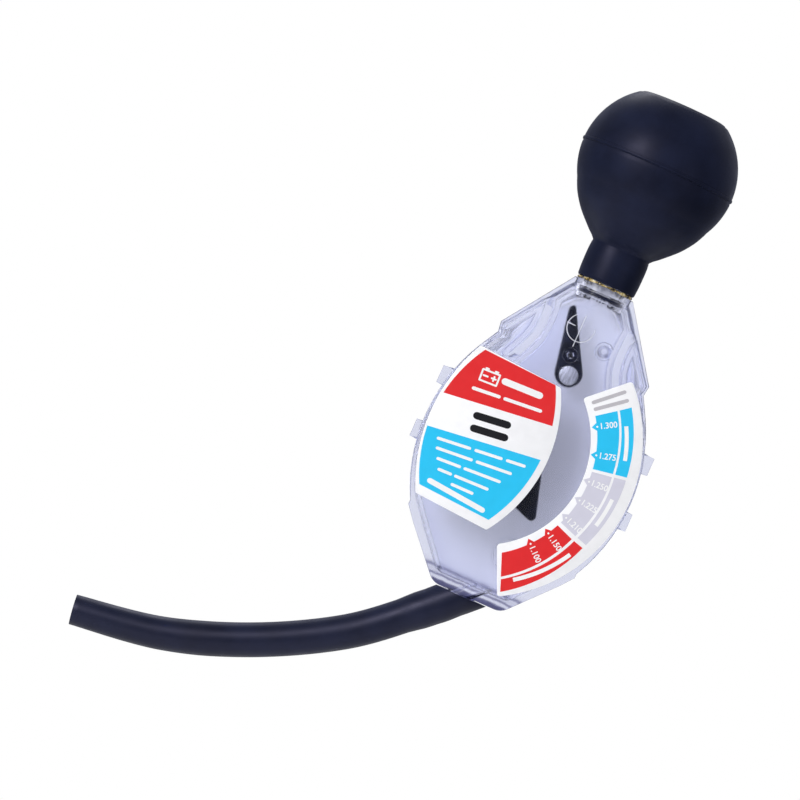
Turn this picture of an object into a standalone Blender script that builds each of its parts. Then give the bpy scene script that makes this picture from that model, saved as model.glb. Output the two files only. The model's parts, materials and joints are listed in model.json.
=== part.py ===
"""Dial hydrometer for battery acid: a clear two-part case with a float pointer and a plumb pointer,
a rubber squeeze bulb on its neck and a curved suction hose below.

Lengths are metres and +Z is up. The origin is the centre of the bulb's moulding seam, the bulb and
the case share the Z axis, and the dial faces -Y. Outlines are drawn in the X and Z directions.
"""
import math

import bmesh
import bpy
from mathutils import Matrix, Vector

# Clearances that several pieces share
SEAT_GAP = 0.0003
OVERRUN = 0.0010

# Squeeze bulb: a ball with a flat top, drawn in to a neck
BULB_RADIUS = 0.02415
BULB_TOP_HEIGHT = 0.0200
BULB_DROP = 0.0266
BULB_WALL = 0.0022
SEAM_HEIGHT = 0.0003
SEAM_WIDTH = 0.0010
NECK_RADIUS = 0.0092
NECK_LENGTH = 0.0115
BALL_END_SHARE = 0.429
BULB_CONE_SHARES = ((0.812, 0.564), (0.679, 0.727), (0.646, 0.784))
NECK_WAIST_SHARES = ((1.0, 1.0), (1.025, 0.75), (1.02, 0.3), (1.0, 0.0))

# Case: two clear halves with a flange round them and a raised flat face
CASE_HALF_WIDTH = 0.0336
CASE_HEIGHT = 0.1012
CASE_HALF_DEPTH = 0.0085
CASE_WALL = 0.0016
FLANGE_HALF_THICKNESS = 0.0018
FLANGE_EDGE = 0.0004
FACE_DRAFT = 0.0003
FACE_EDGE = 0.0005
PARTING_GAP = 0.0003
CASE_CORNER_FILLET = 0.0050
FACE_CORNER_FILLET = 0.0030

# Half outlines from the top down, as shares of the case's half width and height
CASE_SHOULDER_SHARES = ((0.280, 0.0), (0.723, 0.211), (0.710, 0.242))
CASE_ARC_SHARES = ((0.804, 0.298), (1.0, 0.552), (0.8125, 0.8046))
CASE_LOWER_SHARES = ((0.8125, 0.818), (0.714, 0.859))
CASE_CORNER_SHARE = (0.333, 1.0)
FACE_SHOULDER_SHARES = ((0.250, 0.034), (0.351, 0.082), (0.432, 0.100), (0.679, 0.217), (0.674, 0.245))
FACE_ARC_SHARES = ((0.778, 0.307), (0.982, 0.549), (0.778, 0.791))
FACE_LOWER_SHARES = ((0.657, 0.842),)
FACE_CORNER_SHARE = (0.342, 0.9646)

# Tabs on the flange's long sides, the higher pair first
TAB_HEIGHT = 0.0066
TAB_HALF_THICKNESS = 0.0013
TAB_EDGE = 0.0003
TAB_SLOPE = 0.0005
TAB_PLACE_SHARES = (0.427, 0.604)
TAB_REACHES = (0.0010, 0.0018)

# Two grooves that part the plumb's chamber from the side pads
GROOVE_HALF_WIDTH = 0.0015
GROOVE_DEPTH = 0.0040
GROOVE_SHARES = (
    (0.405, 0.069),
    (0.384, 0.118),
    (0.381, 0.167),
    (0.396, 0.207),
    (0.443, 0.249),
    (0.506, 0.295),
)

# Neck: collar, spigot for the bulb, throat, glue ring and seal
COLLAR_RADIUS = 0.0088
COLLAR_FOOT_RADIUS = 0.0080
COLLAR_HEIGHT = 0.0046
SPIGOT_RADIUS = 0.00735
SPIGOT_HEIGHT = 0.0090
THROAT_RADIUS = 0.0055
GLUE_THICKNESS = 0.0005
SEAL_RADIUS = 0.0071
SEAL_THICKNESS = 0.0012
SEAL_DEPTH = 0.0022

# Hose spigot: an oblique nipple below the case
NIPPLE_SHARE = -0.048
NIPPLE_ANGLE = math.radians(44.1)
NIPPLE_RADIUS = 0.0030
NIPPLE_BORE_RADIUS = 0.0020
NIPPLE_LENGTH = 0.0130
NIPPLE_ROOT = 0.0090
NIPPLE_BORE_ROOT = 0.0100

# Suction hose, with its route in X and Z
HOSE_RADIUS = 0.00525
HOSE_SLEEVE_RADIUS = 0.0057
HOSE_END_RADIUS = 0.0047
HOSE_BORE_RADIUS = 0.0033
HOSE_START_OVERRUN = 0.0080
HOSE_ROUTE = (
    (-0.00162, -0.14074),
    (-0.01107, -0.14974),
    (-0.02871, -0.16468),
    (-0.05292, -0.17815),
    (-0.07878, -0.18760),
    (-0.10620, -0.19200),
)

# Float pointer, its pivot and its ballast
FLOAT_PIVOT_SHARES = (-0.4345, 0.5492)
FLOAT_WALL_CLEARANCE = 0.0018
FLOAT_HALF_THICKNESS = 0.0030
FLOAT_TIP_RADIUS = 0.0015
FLOAT_TIP_ANGLE = math.radians(55.3)
FLOAT_TIP_CLEARANCE = 0.0031
FLOAT_BACK_SHARES = ((0.76, 0.80), (1.20, 0.28))
FLOAT_FOOT_ANGLE = math.radians(-54.5)
FLOAT_TIP_START_ANGLE = math.radians(17.0)
FLOAT_TIP_END_ANGLE = math.radians(-110.5)
FLOAT_EDGE = 0.0005
BALLAST_RADIUS = 0.0046
BALLAST_HALF_THICKNESS = 0.0022
BALLAST_OFFSET = 0.0092
BALLAST_ANGLE = math.radians(-45.0)

# Plumb pointer, its pivot and its weight
PLUMB_PIVOT_SHARES = (-0.0387, 0.2215)
PLUMB_LEAN = math.radians(-20.5)
PLUMB_TOP_CLEARANCE = 0.0021
PLUMB_TIP_RADIUS = 0.0010
PLUMB_HEAD_DROP = 0.0054
PLUMB_HEAD_RADIUS = 0.0042
PLUMB_HALF_THICKNESS = 0.0016
PLUMB_EDGE = 0.0003
PLUMB_WEIGHT_RADIUS = 0.0029
PLUMB_WEIGHT_DROP = 0.0061
PLUMB_WEIGHT_THICKNESS = 0.0019

# Pivot pins and the bosses that hold them
PIN_RADIUS = 0.0008
BOSS_RADIUS = 0.0022
BOSS_FLOOR = 0.0019

# Stop post beside the plumb
STOP_SHARES = (0.223, 0.171)
STOP_RADIUS = 0.0027
STOP_BORE_RADIUS = 0.0018

# Fine moulded marks on the dial half
MARK_WIDTH = 0.00035
MARK_RING_HEIGHT = 0.00025
MARK_LINE_HEIGHT = 0.00030
MARK_TICK_HEIGHT = 0.00020
MARK_CENTRE_SHARES = (-0.0536, 0.1368)
MARK_RING_RADIUS = 0.0042
MARK_RING_START = math.radians(130)
MARK_RING_END = math.radians(375)
MARK_LINE_SHARES = ((-0.0536, 0.096), (-0.0536, 0.196))
MARK_TICK_SHARES = ((-0.1875, 0.1358), (-0.107, 0.1358))
MARK_LEVEL_SHARES = ((-0.125, 0.2657), (0.0714, 0.2657))
INNER_RING_SHARES = (0.201, 0.8342)
INNER_RING_RADIUS = 0.0057
INNER_RING_WIDTH = 0.0006
INNER_RING_HEIGHT = 0.0006

# Labels on the raised face
LABEL_THICKNESS = 0.0003
FACE_LABEL_LEFT_SHARES = ((-0.797, 0.778), (-0.971, 0.545), (-0.803, 0.303))
FACE_LABEL_RIGHT_SHARES = ((0.0, 0.321), (0.158, 0.5276), (-0.089, 0.793))
SCALE_EDGE_MARGIN = 0.00035
SCALE_WIDTH = 0.01555
SCALE_INNER_START = math.radians(30.8)
SCALE_INNER_END = math.radians(136.3)
SCALE_OUTER_START = math.radians(28.6)
SCALE_OUTER_END = math.radians(135.2)

# Facets
ROUND_SEGMENTS = 48
BORE_SEGMENTS = 32
SMALL_SEGMENTS = 20
ARC_STEPS = 14
FILLET_STEPS = 4
BALL_STEPS = 8
EDGE_STEPS = 2
HOSE_RESOLUTION = 4
MERGE_DISTANCE = 0.000001

# Places worked out from the sizes above
NECK_FOOT = -(BULB_DROP + NECK_LENGTH)
CASE_TOP = NECK_FOOT - GLUE_THICKNESS - 2 * SEAT_GAP
CASE_BOTTOM = CASE_TOP - CASE_HEIGHT
CAVITY_HALF_DEPTH = CASE_HALF_DEPTH - CASE_WALL


def case_place(shares):
    """A place on the case from its shares of the half width and of the height below the neck."""
    across, down = shares
    return Vector((across * CASE_HALF_WIDTH, CASE_TOP - down * CASE_HEIGHT))


def in_depth(place, depth):
    """The point in space at a place of the outline plane and a depth along Y."""
    return Vector((place.x, depth, place.y))


def direction(angle):
    """The unit step at an angle counted from +X towards +Z."""
    return Vector((math.cos(angle), math.sin(angle)))


def from_straight_down(angle):
    """The unit step at an angle counted from straight down towards +X."""
    return Vector((math.sin(angle), -math.cos(angle)))


def arc(centre, radius, start, end, steps):
    """Points of a round stretch, both ends included."""
    turn = (end - start) / steps
    return [centre + radius * direction(start + turn * step) for step in range(steps + 1)]


def arc_through(first, middle, last, steps):
    """Points of the circle stretch from the first to the last place that passes the middle one."""
    across = middle - first
    along = last - first
    twist = 2 * across.cross(along)
    square_across = across.length_squared
    square_along = along.length_squared
    centre = first + Vector((along.y * square_across - across.y * square_along,
                             across.x * square_along - along.x * square_across)) / twist
    spread = first - centre
    start = math.atan2(spread.y, spread.x)
    finish = last - centre
    end = math.atan2(finish.y, finish.x)
    full = 2 * math.pi
    sweep = (end - start) % full
    passed = (math.atan2(middle.y - centre.y, middle.x - centre.x) - start) % full
    if passed > sweep:
        sweep -= full
    return arc(centre, spread.length, start, start + sweep, steps)


def fillet(before, corner, after, radius, steps):
    """Points that round a corner between two straight stretches."""
    back = (before - corner).normalized()
    onward = (after - corner).normalized()
    half = back.angle(onward) / 2
    centre = corner + (back + onward).normalized() * (radius / math.sin(half))
    reach = radius / math.tan(half)
    start = corner + back * reach
    end = corner + onward * reach
    middle = centre + (corner - centre).normalized() * radius
    return arc_through(start, middle, end, steps)


def smooth_line(places, steps):
    """Points of a smooth curve through a list of places, with the same count in each stretch."""
    line = []
    last = len(places) - 1
    for number in range(last):
        before = places[max(number - 1, 0)]
        start = places[number]
        end = places[number + 1]
        after = places[min(number + 2, last)]
        for step in range(steps):
            share = step / steps
            line.append(0.5 * (2 * start + share * (end - before)
                               + share ** 2 * (2 * before - 5 * start + 4 * end - after)
                               + share ** 3 * (3 * start - before - 3 * end + after)))
    line.append(places[last])
    return line


def even_line(line, count):
    """A line's points again, a given number of equal steps apart."""
    runs = [0.0]
    for number in range(1, len(line)):
        runs.append(runs[-1] + (line[number] - line[number - 1]).length)
    even = []
    for step in range(count + 1):
        wanted = runs[-1] * step / count
        number = max(1, next((n for n, run in enumerate(runs) if run >= wanted), len(runs) - 1))
        share = (wanted - runs[number - 1]) / (runs[number] - runs[number - 1])
        even.append(line[number - 1].lerp(line[number], share))
    return even


def offset_line(line, distance):
    """An open line moved to its left by a distance."""
    moved = []
    for number, here in enumerate(line):
        before = line[max(number - 1, 0)]
        after = line[min(number + 1, len(line) - 1)]
        arriving = (here - before if number else after - here).normalized()
        leaving = (after - here if number < len(line) - 1 else here - before).normalized()
        left = Vector((-arriving.y, arriving.x))
        left_after = Vector((-leaving.y, leaving.x))
        moved.append(here + (left + left_after) * (distance / (1 + left.dot(left_after))))
    return moved


def inset(outline, distance):
    """A closed outline moved inwards by a distance."""
    closed = [outline[-1]] + outline + [outline[0]]
    area = sum(first.cross(second) for first, second in zip(closed, closed[1:]))
    return offset_line(closed, math.copysign(distance, area))[1:-1]


def mirrored(half):
    """A whole outline from its right half, listed from the top down."""
    return half + [Vector((-place.x, place.y)) for place in reversed(half)]


def side_outline(shoulder, curve, lower, corner, radius):
    """The case's or the raised face's outline, from the shares of its right half."""
    half = [case_place(shares) for shares in shoulder]
    half += arc_through(*[case_place(shares) for shares in curve], ARC_STEPS)
    half += [case_place(shares) for shares in lower]
    turn = case_place(corner)
    half += fillet(half[-1], turn, Vector((0, turn.y)), radius, FILLET_STEPS)
    return mirrored(half)


def band(line, half_width):
    """The outline of a strip along a line, with a round far end."""
    left = offset_line(line, half_width)
    right = offset_line(line, -half_width)
    spread = right[-1] - line[-1]
    start = math.atan2(spread.y, spread.x)
    cap = arc(line[-1], half_width, start, start + math.pi, FILLET_STEPS * 2)
    return right[:-1] + cap + list(reversed(left[:-1]))


def teardrop(tip, tip_radius, head, head_radius):
    """The outline round a small circle above a large one, with straight sides."""
    slope = math.asin((head_radius - tip_radius) / (tip - head).length)
    top = arc(tip, tip_radius, slope, math.pi - slope, FILLET_STEPS * 2)
    bottom = arc(head, head_radius, math.pi - slope, 2 * math.pi + slope, ARC_STEPS)
    return top + bottom


def add_object(name, shape):
    """Puts a bmesh into the scene as an object with its faces pointing out."""
    bmesh.ops.remove_doubles(shape, verts=shape.verts, dist=MERGE_DISTANCE)
    bmesh.ops.recalc_face_normals(shape, faces=shape.faces)
    mesh = bpy.data.meshes.new(name)
    shape.to_mesh(mesh)
    shape.free()
    piece = bpy.data.objects.new(name, mesh)
    bpy.context.scene.collection.objects.link(piece)
    return piece


def prism(name, outline, start, end, draft=0, edge=0):
    """An outline extruded along Y, drawn in by a draft and with a rounded far edge."""
    shape = bmesh.new()
    base = shape.faces.new([shape.verts.new(in_depth(place, start)) for place in outline])
    corners = list(base.verts)
    grown = bmesh.ops.extrude_face_region(shape, geom=[base], use_keep_orig=True)
    top = next(part for part in grown["geom"] if isinstance(part, bmesh.types.BMFace))
    drawn = inset(outline, draft) if draft else outline
    for corner, place in zip(corners, drawn):
        partner = next(link.other_vert(corner) for link in corner.link_edges
                       if link.other_vert(corner) not in corners)
        partner.co = in_depth(place, end)
    if edge:
        bmesh.ops.bevel(shape, geom=list(top.edges), offset=edge, segments=EDGE_STEPS, profile=0.5,
                        affect="EDGES", clamp_overlap=True)
    return add_object(name, shape)


def turned(name, profile, segments):
    """A closed profile of radius and height, turned once round Z."""
    shape = bmesh.new()
    ring = [shape.verts.new((place.x, 0, place.y)) for place in profile]
    edges = [shape.edges.new((ring[number - 1], ring[number])) for number in range(len(ring))]
    bmesh.ops.spin(shape, geom=ring + edges, cent=(0, 0, 0), axis=(0, 0, 1), angle=2 * math.pi,
                   steps=segments, use_merge=True)
    loose = [edge for edge in shape.edges if not edge.link_faces]
    bmesh.ops.delete(shape, geom=loose, context="EDGES")
    return add_object(name, shape)


def rod(name, start, end, radius, segments, end_radius=None):
    """A round rod or cone between two points."""
    shape = bmesh.new()
    run = end - start
    turn = Vector((0, 0, 1)).rotation_difference(run).to_matrix().to_4x4()
    place = Matrix.Translation((start + end) / 2) @ turn
    far = radius if end_radius is None else end_radius
    bmesh.ops.create_cone(shape, cap_ends=True, segments=segments, radius1=radius, radius2=far,
                          depth=run.length, matrix=place)
    return add_object(name, shape)


def box(name, low, high):
    """A block between its lowest and highest corners."""
    shape = bmesh.new()
    place = Matrix.Translation((low + high) / 2) @ Matrix.Diagonal((*(high - low), 1))
    bmesh.ops.create_cube(shape, size=1, matrix=place)
    return add_object(name, shape)


def combine(piece, tool, operation):
    """Joins a tool to a piece or cuts it out, and removes the tool."""
    change = piece.modifiers.new("combine", "BOOLEAN")
    change.operation = operation
    change.solver = "EXACT"
    change.object = tool
    view = bpy.context.evaluated_depsgraph_get()
    mesh = bpy.data.meshes.new_from_object(piece.evaluated_get(view))
    piece.modifiers.remove(change)
    mesh.name = piece.name
    piece.data = mesh
    bpy.data.objects.remove(tool)


def join(piece, tool):
    combine(piece, tool, "UNION")


def cut(piece, tool):
    combine(piece, tool, "DIFFERENCE")


def smooth_shade(piece):
    """Shades round stretches smooth and keeps true edges sharp."""
    piece.data.shade_smooth()
    piece.data.set_sharp_from_angle(angle=math.radians(35))


def finish_piece(piece, name, colour, roughness, metallic=0.0, alpha=1.0):
    """Gives a finished piece its name, shading and material."""
    piece.name = name
    piece.data.name = name
    material = bpy.data.materials.new(name)
    material.use_nodes = True
    surface = material.node_tree.nodes["Principled BSDF"]
    surface.inputs["Base Color"].default_value = (*colour, 1.0)
    surface.inputs["Roughness"].default_value = roughness
    surface.inputs["Metallic"].default_value = metallic
    surface.inputs["Alpha"].default_value = alpha
    piece.data.materials.clear()
    piece.data.materials.append(material)
    if piece.type == "MESH":
        smooth_shade(piece)
    return piece


def make_squeeze_bulb():
    """The hollow bulb and its neck, open at the neck's foot."""
    top_angle = math.asin(BULB_TOP_HEIGHT / BULB_RADIUS)
    seam_angle = math.asin(SEAM_WIDTH / 2 / BULB_RADIUS)
    ball_end = BALL_END_SHARE * BULB_DROP
    end_angle = -math.asin(ball_end / BULB_RADIUS)
    centre = Vector((0, 0))
    upper = arc(centre, BULB_RADIUS, top_angle, seam_angle, BALL_STEPS)
    lower = arc(centre, BULB_RADIUS, -seam_angle, end_angle, BALL_STEPS // 2)
    cone = [Vector((across * BULB_RADIUS, -down * BULB_DROP)) for across, down in BULB_CONE_SHARES]
    shoulder = Vector((NECK_RADIUS, -BULB_DROP))
    neck = [Vector((across * NECK_RADIUS, NECK_FOOT + up * NECK_LENGTH))
            for across, up in NECK_WAIST_SHARES]
    seam = [Vector((BULB_RADIUS + SEAM_HEIGHT, SEAM_WIDTH / 4)),
            Vector((BULB_RADIUS + SEAM_HEIGHT, -SEAM_WIDTH / 4))]
    top = Vector((0, BULB_TOP_HEIGHT))
    body = [top] + upper + lower[1:] + cone + [shoulder]
    inner = offset_line(body, -BULB_WALL)
    bore = SPIGOT_RADIUS + SEAT_GAP
    slope_start, slope_end = inner[-2], offset_line([cone[-1], shoulder], -BULB_WALL)[1]
    share = (slope_start.x - bore) / (slope_start.x - slope_end.x)
    inner[-1] = slope_start.lerp(slope_end, share)
    outer = [top] + upper + seam + lower + cone + neck
    profile = outer + [Vector((bore, NECK_FOOT))] + list(reversed(inner))
    bulb = turned("squeeze_bulb", profile, ROUND_SEGMENTS)
    return finish_piece(bulb, "squeeze_bulb", (0.012, 0.013, 0.020), 0.5)


def make_ring(name, inner_radius, outer_radius, low, high):
    """A flat ring round the Z axis."""
    profile = [Vector((inner_radius, low)), Vector((outer_radius, low)),
               Vector((outer_radius, high)), Vector((inner_radius, high))]
    return turned(name, profile, ROUND_SEGMENTS)


def make_neck_adhesive_bead():
    """The glue between the bulb's neck and the case's collar."""
    low = CASE_TOP + SEAT_GAP
    bore = SPIGOT_RADIUS + SEAT_GAP
    bead = make_ring("neck_adhesive_bead", bore, NECK_RADIUS, low, low + GLUE_THICKNESS)
    return finish_piece(bead, "neck_adhesive_bead", (0.45, 0.33, 0.12), 0.35)


def make_neck_seal():
    """The rubber ring that sits in the throat's seat."""
    high = CASE_TOP - SEAL_DEPTH
    seal = make_ring("neck_seal", THROAT_RADIUS, SEAL_RADIUS, high - SEAL_THICKNESS, high)
    return finish_piece(seal, "neck_seal", (0.012, 0.012, 0.015), 0.5)


def case_outline():
    return side_outline(CASE_SHOULDER_SHARES, CASE_ARC_SHARES, CASE_LOWER_SHARES,
                        CASE_CORNER_SHARE, CASE_CORNER_FILLET)


def face_outline():
    return side_outline(FACE_SHOULDER_SHARES, FACE_ARC_SHARES, FACE_LOWER_SHARES,
                        FACE_CORNER_SHARE, FACE_CORNER_FILLET)


def groove_line(side):
    """The middle line of the right groove, or of the left one when side is -1."""
    line = smooth_line([case_place(shares) for shares in GROOVE_SHARES], 2)
    return [Vector((side * place.x, place.y)) for place in line]


def float_pivot():
    return case_place(FLOAT_PIVOT_SHARES)


def plumb_pivot():
    return case_place(PLUMB_PIVOT_SHARES)


def nipple_point(run):
    """A point on the hose spigot's axis, by its run from the case's foot."""
    start = Vector((NIPPLE_SHARE * CASE_HALF_WIDTH, CASE_BOTTOM))
    return in_depth(start - run * direction(NIPPLE_ANGLE), 0)


def add_tabs(shell, side):
    """Two small tabs on each long side of the flange."""
    for place_share, reach in zip(TAB_PLACE_SHARES, TAB_REACHES):
        middle = CASE_TOP - place_share * CASE_HEIGHT
        for hand in (-1, 1):
            far = hand * (CASE_HALF_WIDTH + reach)
            near = hand * (CASE_HALF_WIDTH - TAB_HEIGHT)
            half = TAB_HEIGHT / 2
            outline = [Vector((near, middle - half)), Vector((far, middle - half + TAB_SLOPE)),
                       Vector((far, middle + half - TAB_SLOPE)), Vector((near, middle + half))]
            tab = prism("tab", outline, -side * OVERRUN / 2, side * TAB_HALF_THICKNESS, edge=TAB_EDGE)
            join(shell, tab)


def add_neck(shell):
    """The collar under the bulb and the spigot that its neck grips."""
    root = CASE_TOP - COLLAR_HEIGHT
    collar = rod("collar", Vector((0, 0, root)), Vector((0, 0, CASE_TOP)),
                 COLLAR_FOOT_RADIUS, ROUND_SEGMENTS, COLLAR_RADIUS)
    spigot_root = Vector((0, 0, root + SEAL_THICKNESS))
    spigot = rod("spigot", spigot_root, Vector((0, 0, CASE_TOP + SPIGOT_HEIGHT)), SPIGOT_RADIUS,
                 ROUND_SEGMENTS)
    join(shell, collar)
    join(shell, spigot)


def cut_throat(shell):
    """The bore down the spigot and the wider seat of the seal."""
    low = CASE_TOP - COLLAR_HEIGHT - CASE_WALL
    bore = rod("throat", Vector((0, 0, low)), Vector((0, 0, CASE_TOP + SPIGOT_HEIGHT + OVERRUN)),
               THROAT_RADIUS, ROUND_SEGMENTS)
    seat = rod("seal_seat", Vector((0, 0, low - OVERRUN)), Vector((0, 0, CASE_TOP - SEAL_DEPTH + SEAT_GAP)),
               SEAL_RADIUS + SEAT_GAP, ROUND_SEGMENTS)
    cut(shell, bore)
    cut(shell, seat)


def cavity_tool(side):
    """The chamber inside one half, with ribs left standing behind the grooves."""
    room = prism("chamber", inset(face_outline(), CASE_WALL), -side * OVERRUN * 5 / 2,
                 side * CAVITY_HALF_DEPTH)
    for hand in (-1, 1):
        rib = prism("rib", band(groove_line(hand), GROOVE_HALF_WIDTH + CASE_WALL),
                    -side * OVERRUN * 7 / 2, side * CASE_HALF_DEPTH)
        cut(room, rib)
    return room


def cut_grooves(shell, side):
    for hand in (-1, 1):
        groove = prism("groove", band(groove_line(hand), GROOVE_HALF_WIDTH),
                       side * (CASE_HALF_DEPTH - GROOVE_DEPTH), side * (CASE_HALF_DEPTH + OVERRUN))
        cut(shell, groove)


def add_pin_boss(shell, side, pivot, half_thickness):
    """A boss that reaches to the piece on the pin, with a blind hole for the pin's end."""
    face = half_thickness + SEAT_GAP
    root = CAVITY_HALF_DEPTH + CASE_WALL / 2
    boss = rod("boss", in_depth(pivot, side * face), in_depth(pivot, side * root), BOSS_RADIUS,
               SMALL_SEGMENTS)
    hole = rod("pin_hole", in_depth(pivot, side * (face - OVERRUN)),
               in_depth(pivot, side * (CASE_HALF_DEPTH - BOSS_FLOOR)), PIN_RADIUS + SEAT_GAP,
               SMALL_SEGMENTS)
    join(shell, boss)
    cut(shell, hole)


def stroke(name, line, base, top):
    """A thin straight-sided ridge along a line."""
    half = MARK_WIDTH / 2
    outline = offset_line(line, half) + list(reversed(offset_line(line, -half)))
    return prism(name, outline, base, top)


def add_marks(shell):
    """The fine ridges moulded on the dial half's outside, and the ring inside it."""
    base = -(CASE_HALF_DEPTH - CASE_WALL / 4)
    centre = case_place(MARK_CENTRE_SHARES)
    ring = arc(centre, MARK_RING_RADIUS, MARK_RING_START, MARK_RING_END, ARC_STEPS)
    lines = [(ring, MARK_RING_HEIGHT)]
    for shares, height in ((MARK_LINE_SHARES, MARK_LINE_HEIGHT), (MARK_TICK_SHARES, MARK_TICK_HEIGHT),
                           (MARK_LEVEL_SHARES, MARK_TICK_HEIGHT)):
        lines.append(([case_place(share) for share in shares], height))
    for line, height in lines:
        join(shell, stroke("mark", line, base, -(CASE_HALF_DEPTH + height)))
    place = case_place(INNER_RING_SHARES)
    root = -(CAVITY_HALF_DEPTH + CASE_WALL / 2)
    face = -(CAVITY_HALF_DEPTH - INNER_RING_HEIGHT)
    ring_wall = rod("inner_ring", in_depth(place, root), in_depth(place, face), INNER_RING_RADIUS,
                    BORE_SEGMENTS)
    ring_hole = rod("inner_ring_hole", in_depth(place, root - OVERRUN), in_depth(place, face + OVERRUN),
                    INNER_RING_RADIUS - INNER_RING_WIDTH, BORE_SEGMENTS)
    cut(ring_wall, ring_hole)
    join(shell, ring_wall)


def add_stop_post(shell):
    """The hollow post that stops the plumb's swing to the right."""
    place = case_place(STOP_SHARES)
    root = in_depth(place, -(CAVITY_HALF_DEPTH + CASE_WALL / 2))
    post = rod("stop_post", root, in_depth(place, OVERRUN), STOP_RADIUS, SMALL_SEGMENTS)
    floor = SEAT_GAP - CAVITY_HALF_DEPTH
    hole = rod("stop_hole", in_depth(place, floor), in_depth(place, OVERRUN * 2), STOP_BORE_RADIUS,
               SMALL_SEGMENTS)
    cut(post, hole)
    join(shell, post)


def cut_parting(shell, side):
    """Trims a half back to its side of the parting plane."""
    reach = CASE_HEIGHT * 2
    middle = Vector((0, 0, CASE_TOP))
    low = middle - Vector((reach, side * reach, reach))
    high = middle + Vector((reach, side * PARTING_GAP / 2, reach))
    cut(shell, box("parting", low, high))


def make_shell(name, side):
    """One clear half of the case. The side is -1 for the dial half and 1 for the back half."""
    shell = prism(name, case_outline(), -side * OVERRUN, side * FLANGE_HALF_THICKNESS, edge=FLANGE_EDGE)
    add_tabs(shell, side)
    face = prism("face", face_outline(), -side * OVERRUN * 3 / 2, side * CASE_HALF_DEPTH, FACE_DRAFT,
                 FACE_EDGE)
    join(shell, face)
    add_neck(shell)
    nipple = rod("nipple", nipple_point(-NIPPLE_ROOT), nipple_point(NIPPLE_LENGTH), NIPPLE_RADIUS,
                 BORE_SEGMENTS)
    join(shell, nipple)
    cut_grooves(shell, side)
    cut(shell, cavity_tool(side))
    cut_throat(shell)
    nipple_bore = rod("nipple_bore", nipple_point(-NIPPLE_BORE_ROOT), nipple_point(NIPPLE_LENGTH + OVERRUN),
                      NIPPLE_BORE_RADIUS, BORE_SEGMENTS)
    cut(shell, nipple_bore)
    add_pin_boss(shell, side, float_pivot(), FLOAT_HALF_THICKNESS)
    add_pin_boss(shell, side, plumb_pivot(), PLUMB_HALF_THICKNESS)
    if side < 0:
        add_stop_post(shell)
        add_marks(shell)
    cut_parting(shell, side)
    return finish_piece(shell, name, (0.62, 0.64, 0.80), 0.08, alpha=0.35)


def make_face_label():
    """The lens-shaped label over the float."""
    outline = arc_through(*[case_place(shares) for shares in FACE_LABEL_LEFT_SHARES], ARC_STEPS)
    outline += arc_through(*[case_place(shares) for shares in FACE_LABEL_RIGHT_SHARES], ARC_STEPS)
    back = -(CASE_HALF_DEPTH + SEAT_GAP)
    label = prism("face_label", outline, back, back - LABEL_THICKNESS)
    return finish_piece(label, "face_label", (0.85, 0.85, 0.86), 0.45)


def scale_outer_radius():
    """The scale's outer radius about the float's pivot, just inside the raised face's edge."""
    edge = FACE_ARC_SHARES[1][0] * CASE_HALF_WIDTH
    return edge - float_pivot().x - SCALE_EDGE_MARGIN


def make_scale_label():
    """The curved scale, concentric with the float's pivot."""
    pivot = float_pivot()
    outer = scale_outer_radius()
    inner = outer - SCALE_WIDTH
    quarter = math.pi / 2
    outline = arc(pivot, inner, SCALE_INNER_START - quarter, SCALE_INNER_END - quarter, ARC_STEPS * 2)
    outline += arc(pivot, outer, SCALE_OUTER_END - quarter, SCALE_OUTER_START - quarter, ARC_STEPS * 2)
    back = -(CASE_HALF_DEPTH + SEAT_GAP)
    label = prism("scale_label", outline, back, back - LABEL_THICKNESS)
    return finish_piece(label, "scale_label", (0.85, 0.85, 0.86), 0.45)


def float_radius():
    """The float's radius, which leaves a running clearance to the chamber's wall beside its pivot."""
    wall = FACE_ARC_SHARES[1][0] * CASE_HALF_WIDTH - CASE_WALL
    return wall + float_pivot().x - FLOAT_WALL_CLEARANCE


def float_reach():
    """The distance from the pivot to the middle of the float's rounded tip."""
    return scale_outer_radius() - SCALE_WIDTH - FLOAT_TIP_CLEARANCE - FLOAT_TIP_RADIUS


def float_outline():
    """The float's outline about its pivot: a disc drawn out to a nose."""
    radius = float_radius()
    pivot = Vector((0, 0))
    tip = float_reach() * from_straight_down(FLOAT_TIP_ANGLE)
    back = [radius * Vector(shares) for shares in FLOAT_BACK_SHARES]
    nose = arc(tip, FLOAT_TIP_RADIUS, FLOAT_TIP_START_ANGLE, FLOAT_TIP_END_ANGLE, FILLET_STEPS * 2)
    disc = arc(pivot, radius, FLOAT_FOOT_ANGLE, -3 * math.pi / 2, ROUND_SEGMENTS // 2)
    return back + nose + disc


def make_float_pointer():
    """The float, bored for its pin and pocketed for its ballast."""
    half = FLOAT_HALF_THICKNESS
    piece = prism("float_pointer", float_outline(), half, -half, edge=FLOAT_EDGE)
    bore = rod("bore", Vector((0, -half - OVERRUN, 0)), Vector((0, half + OVERRUN, 0)),
               PIN_RADIUS + SEAT_GAP, SMALL_SEGMENTS)
    place = BALLAST_OFFSET * from_straight_down(BALLAST_ANGLE)
    floor = -(BALLAST_HALF_THICKNESS + SEAT_GAP)
    pocket = rod("pocket", in_depth(place, floor), in_depth(place, half + OVERRUN),
                 BALLAST_RADIUS + SEAT_GAP, SMALL_SEGMENTS)
    cut(piece, bore)
    cut(piece, pocket)
    piece.location = in_depth(float_pivot(), 0)
    return finish_piece(piece, "float_pointer", (0.012, 0.013, 0.024), 0.4)


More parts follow.
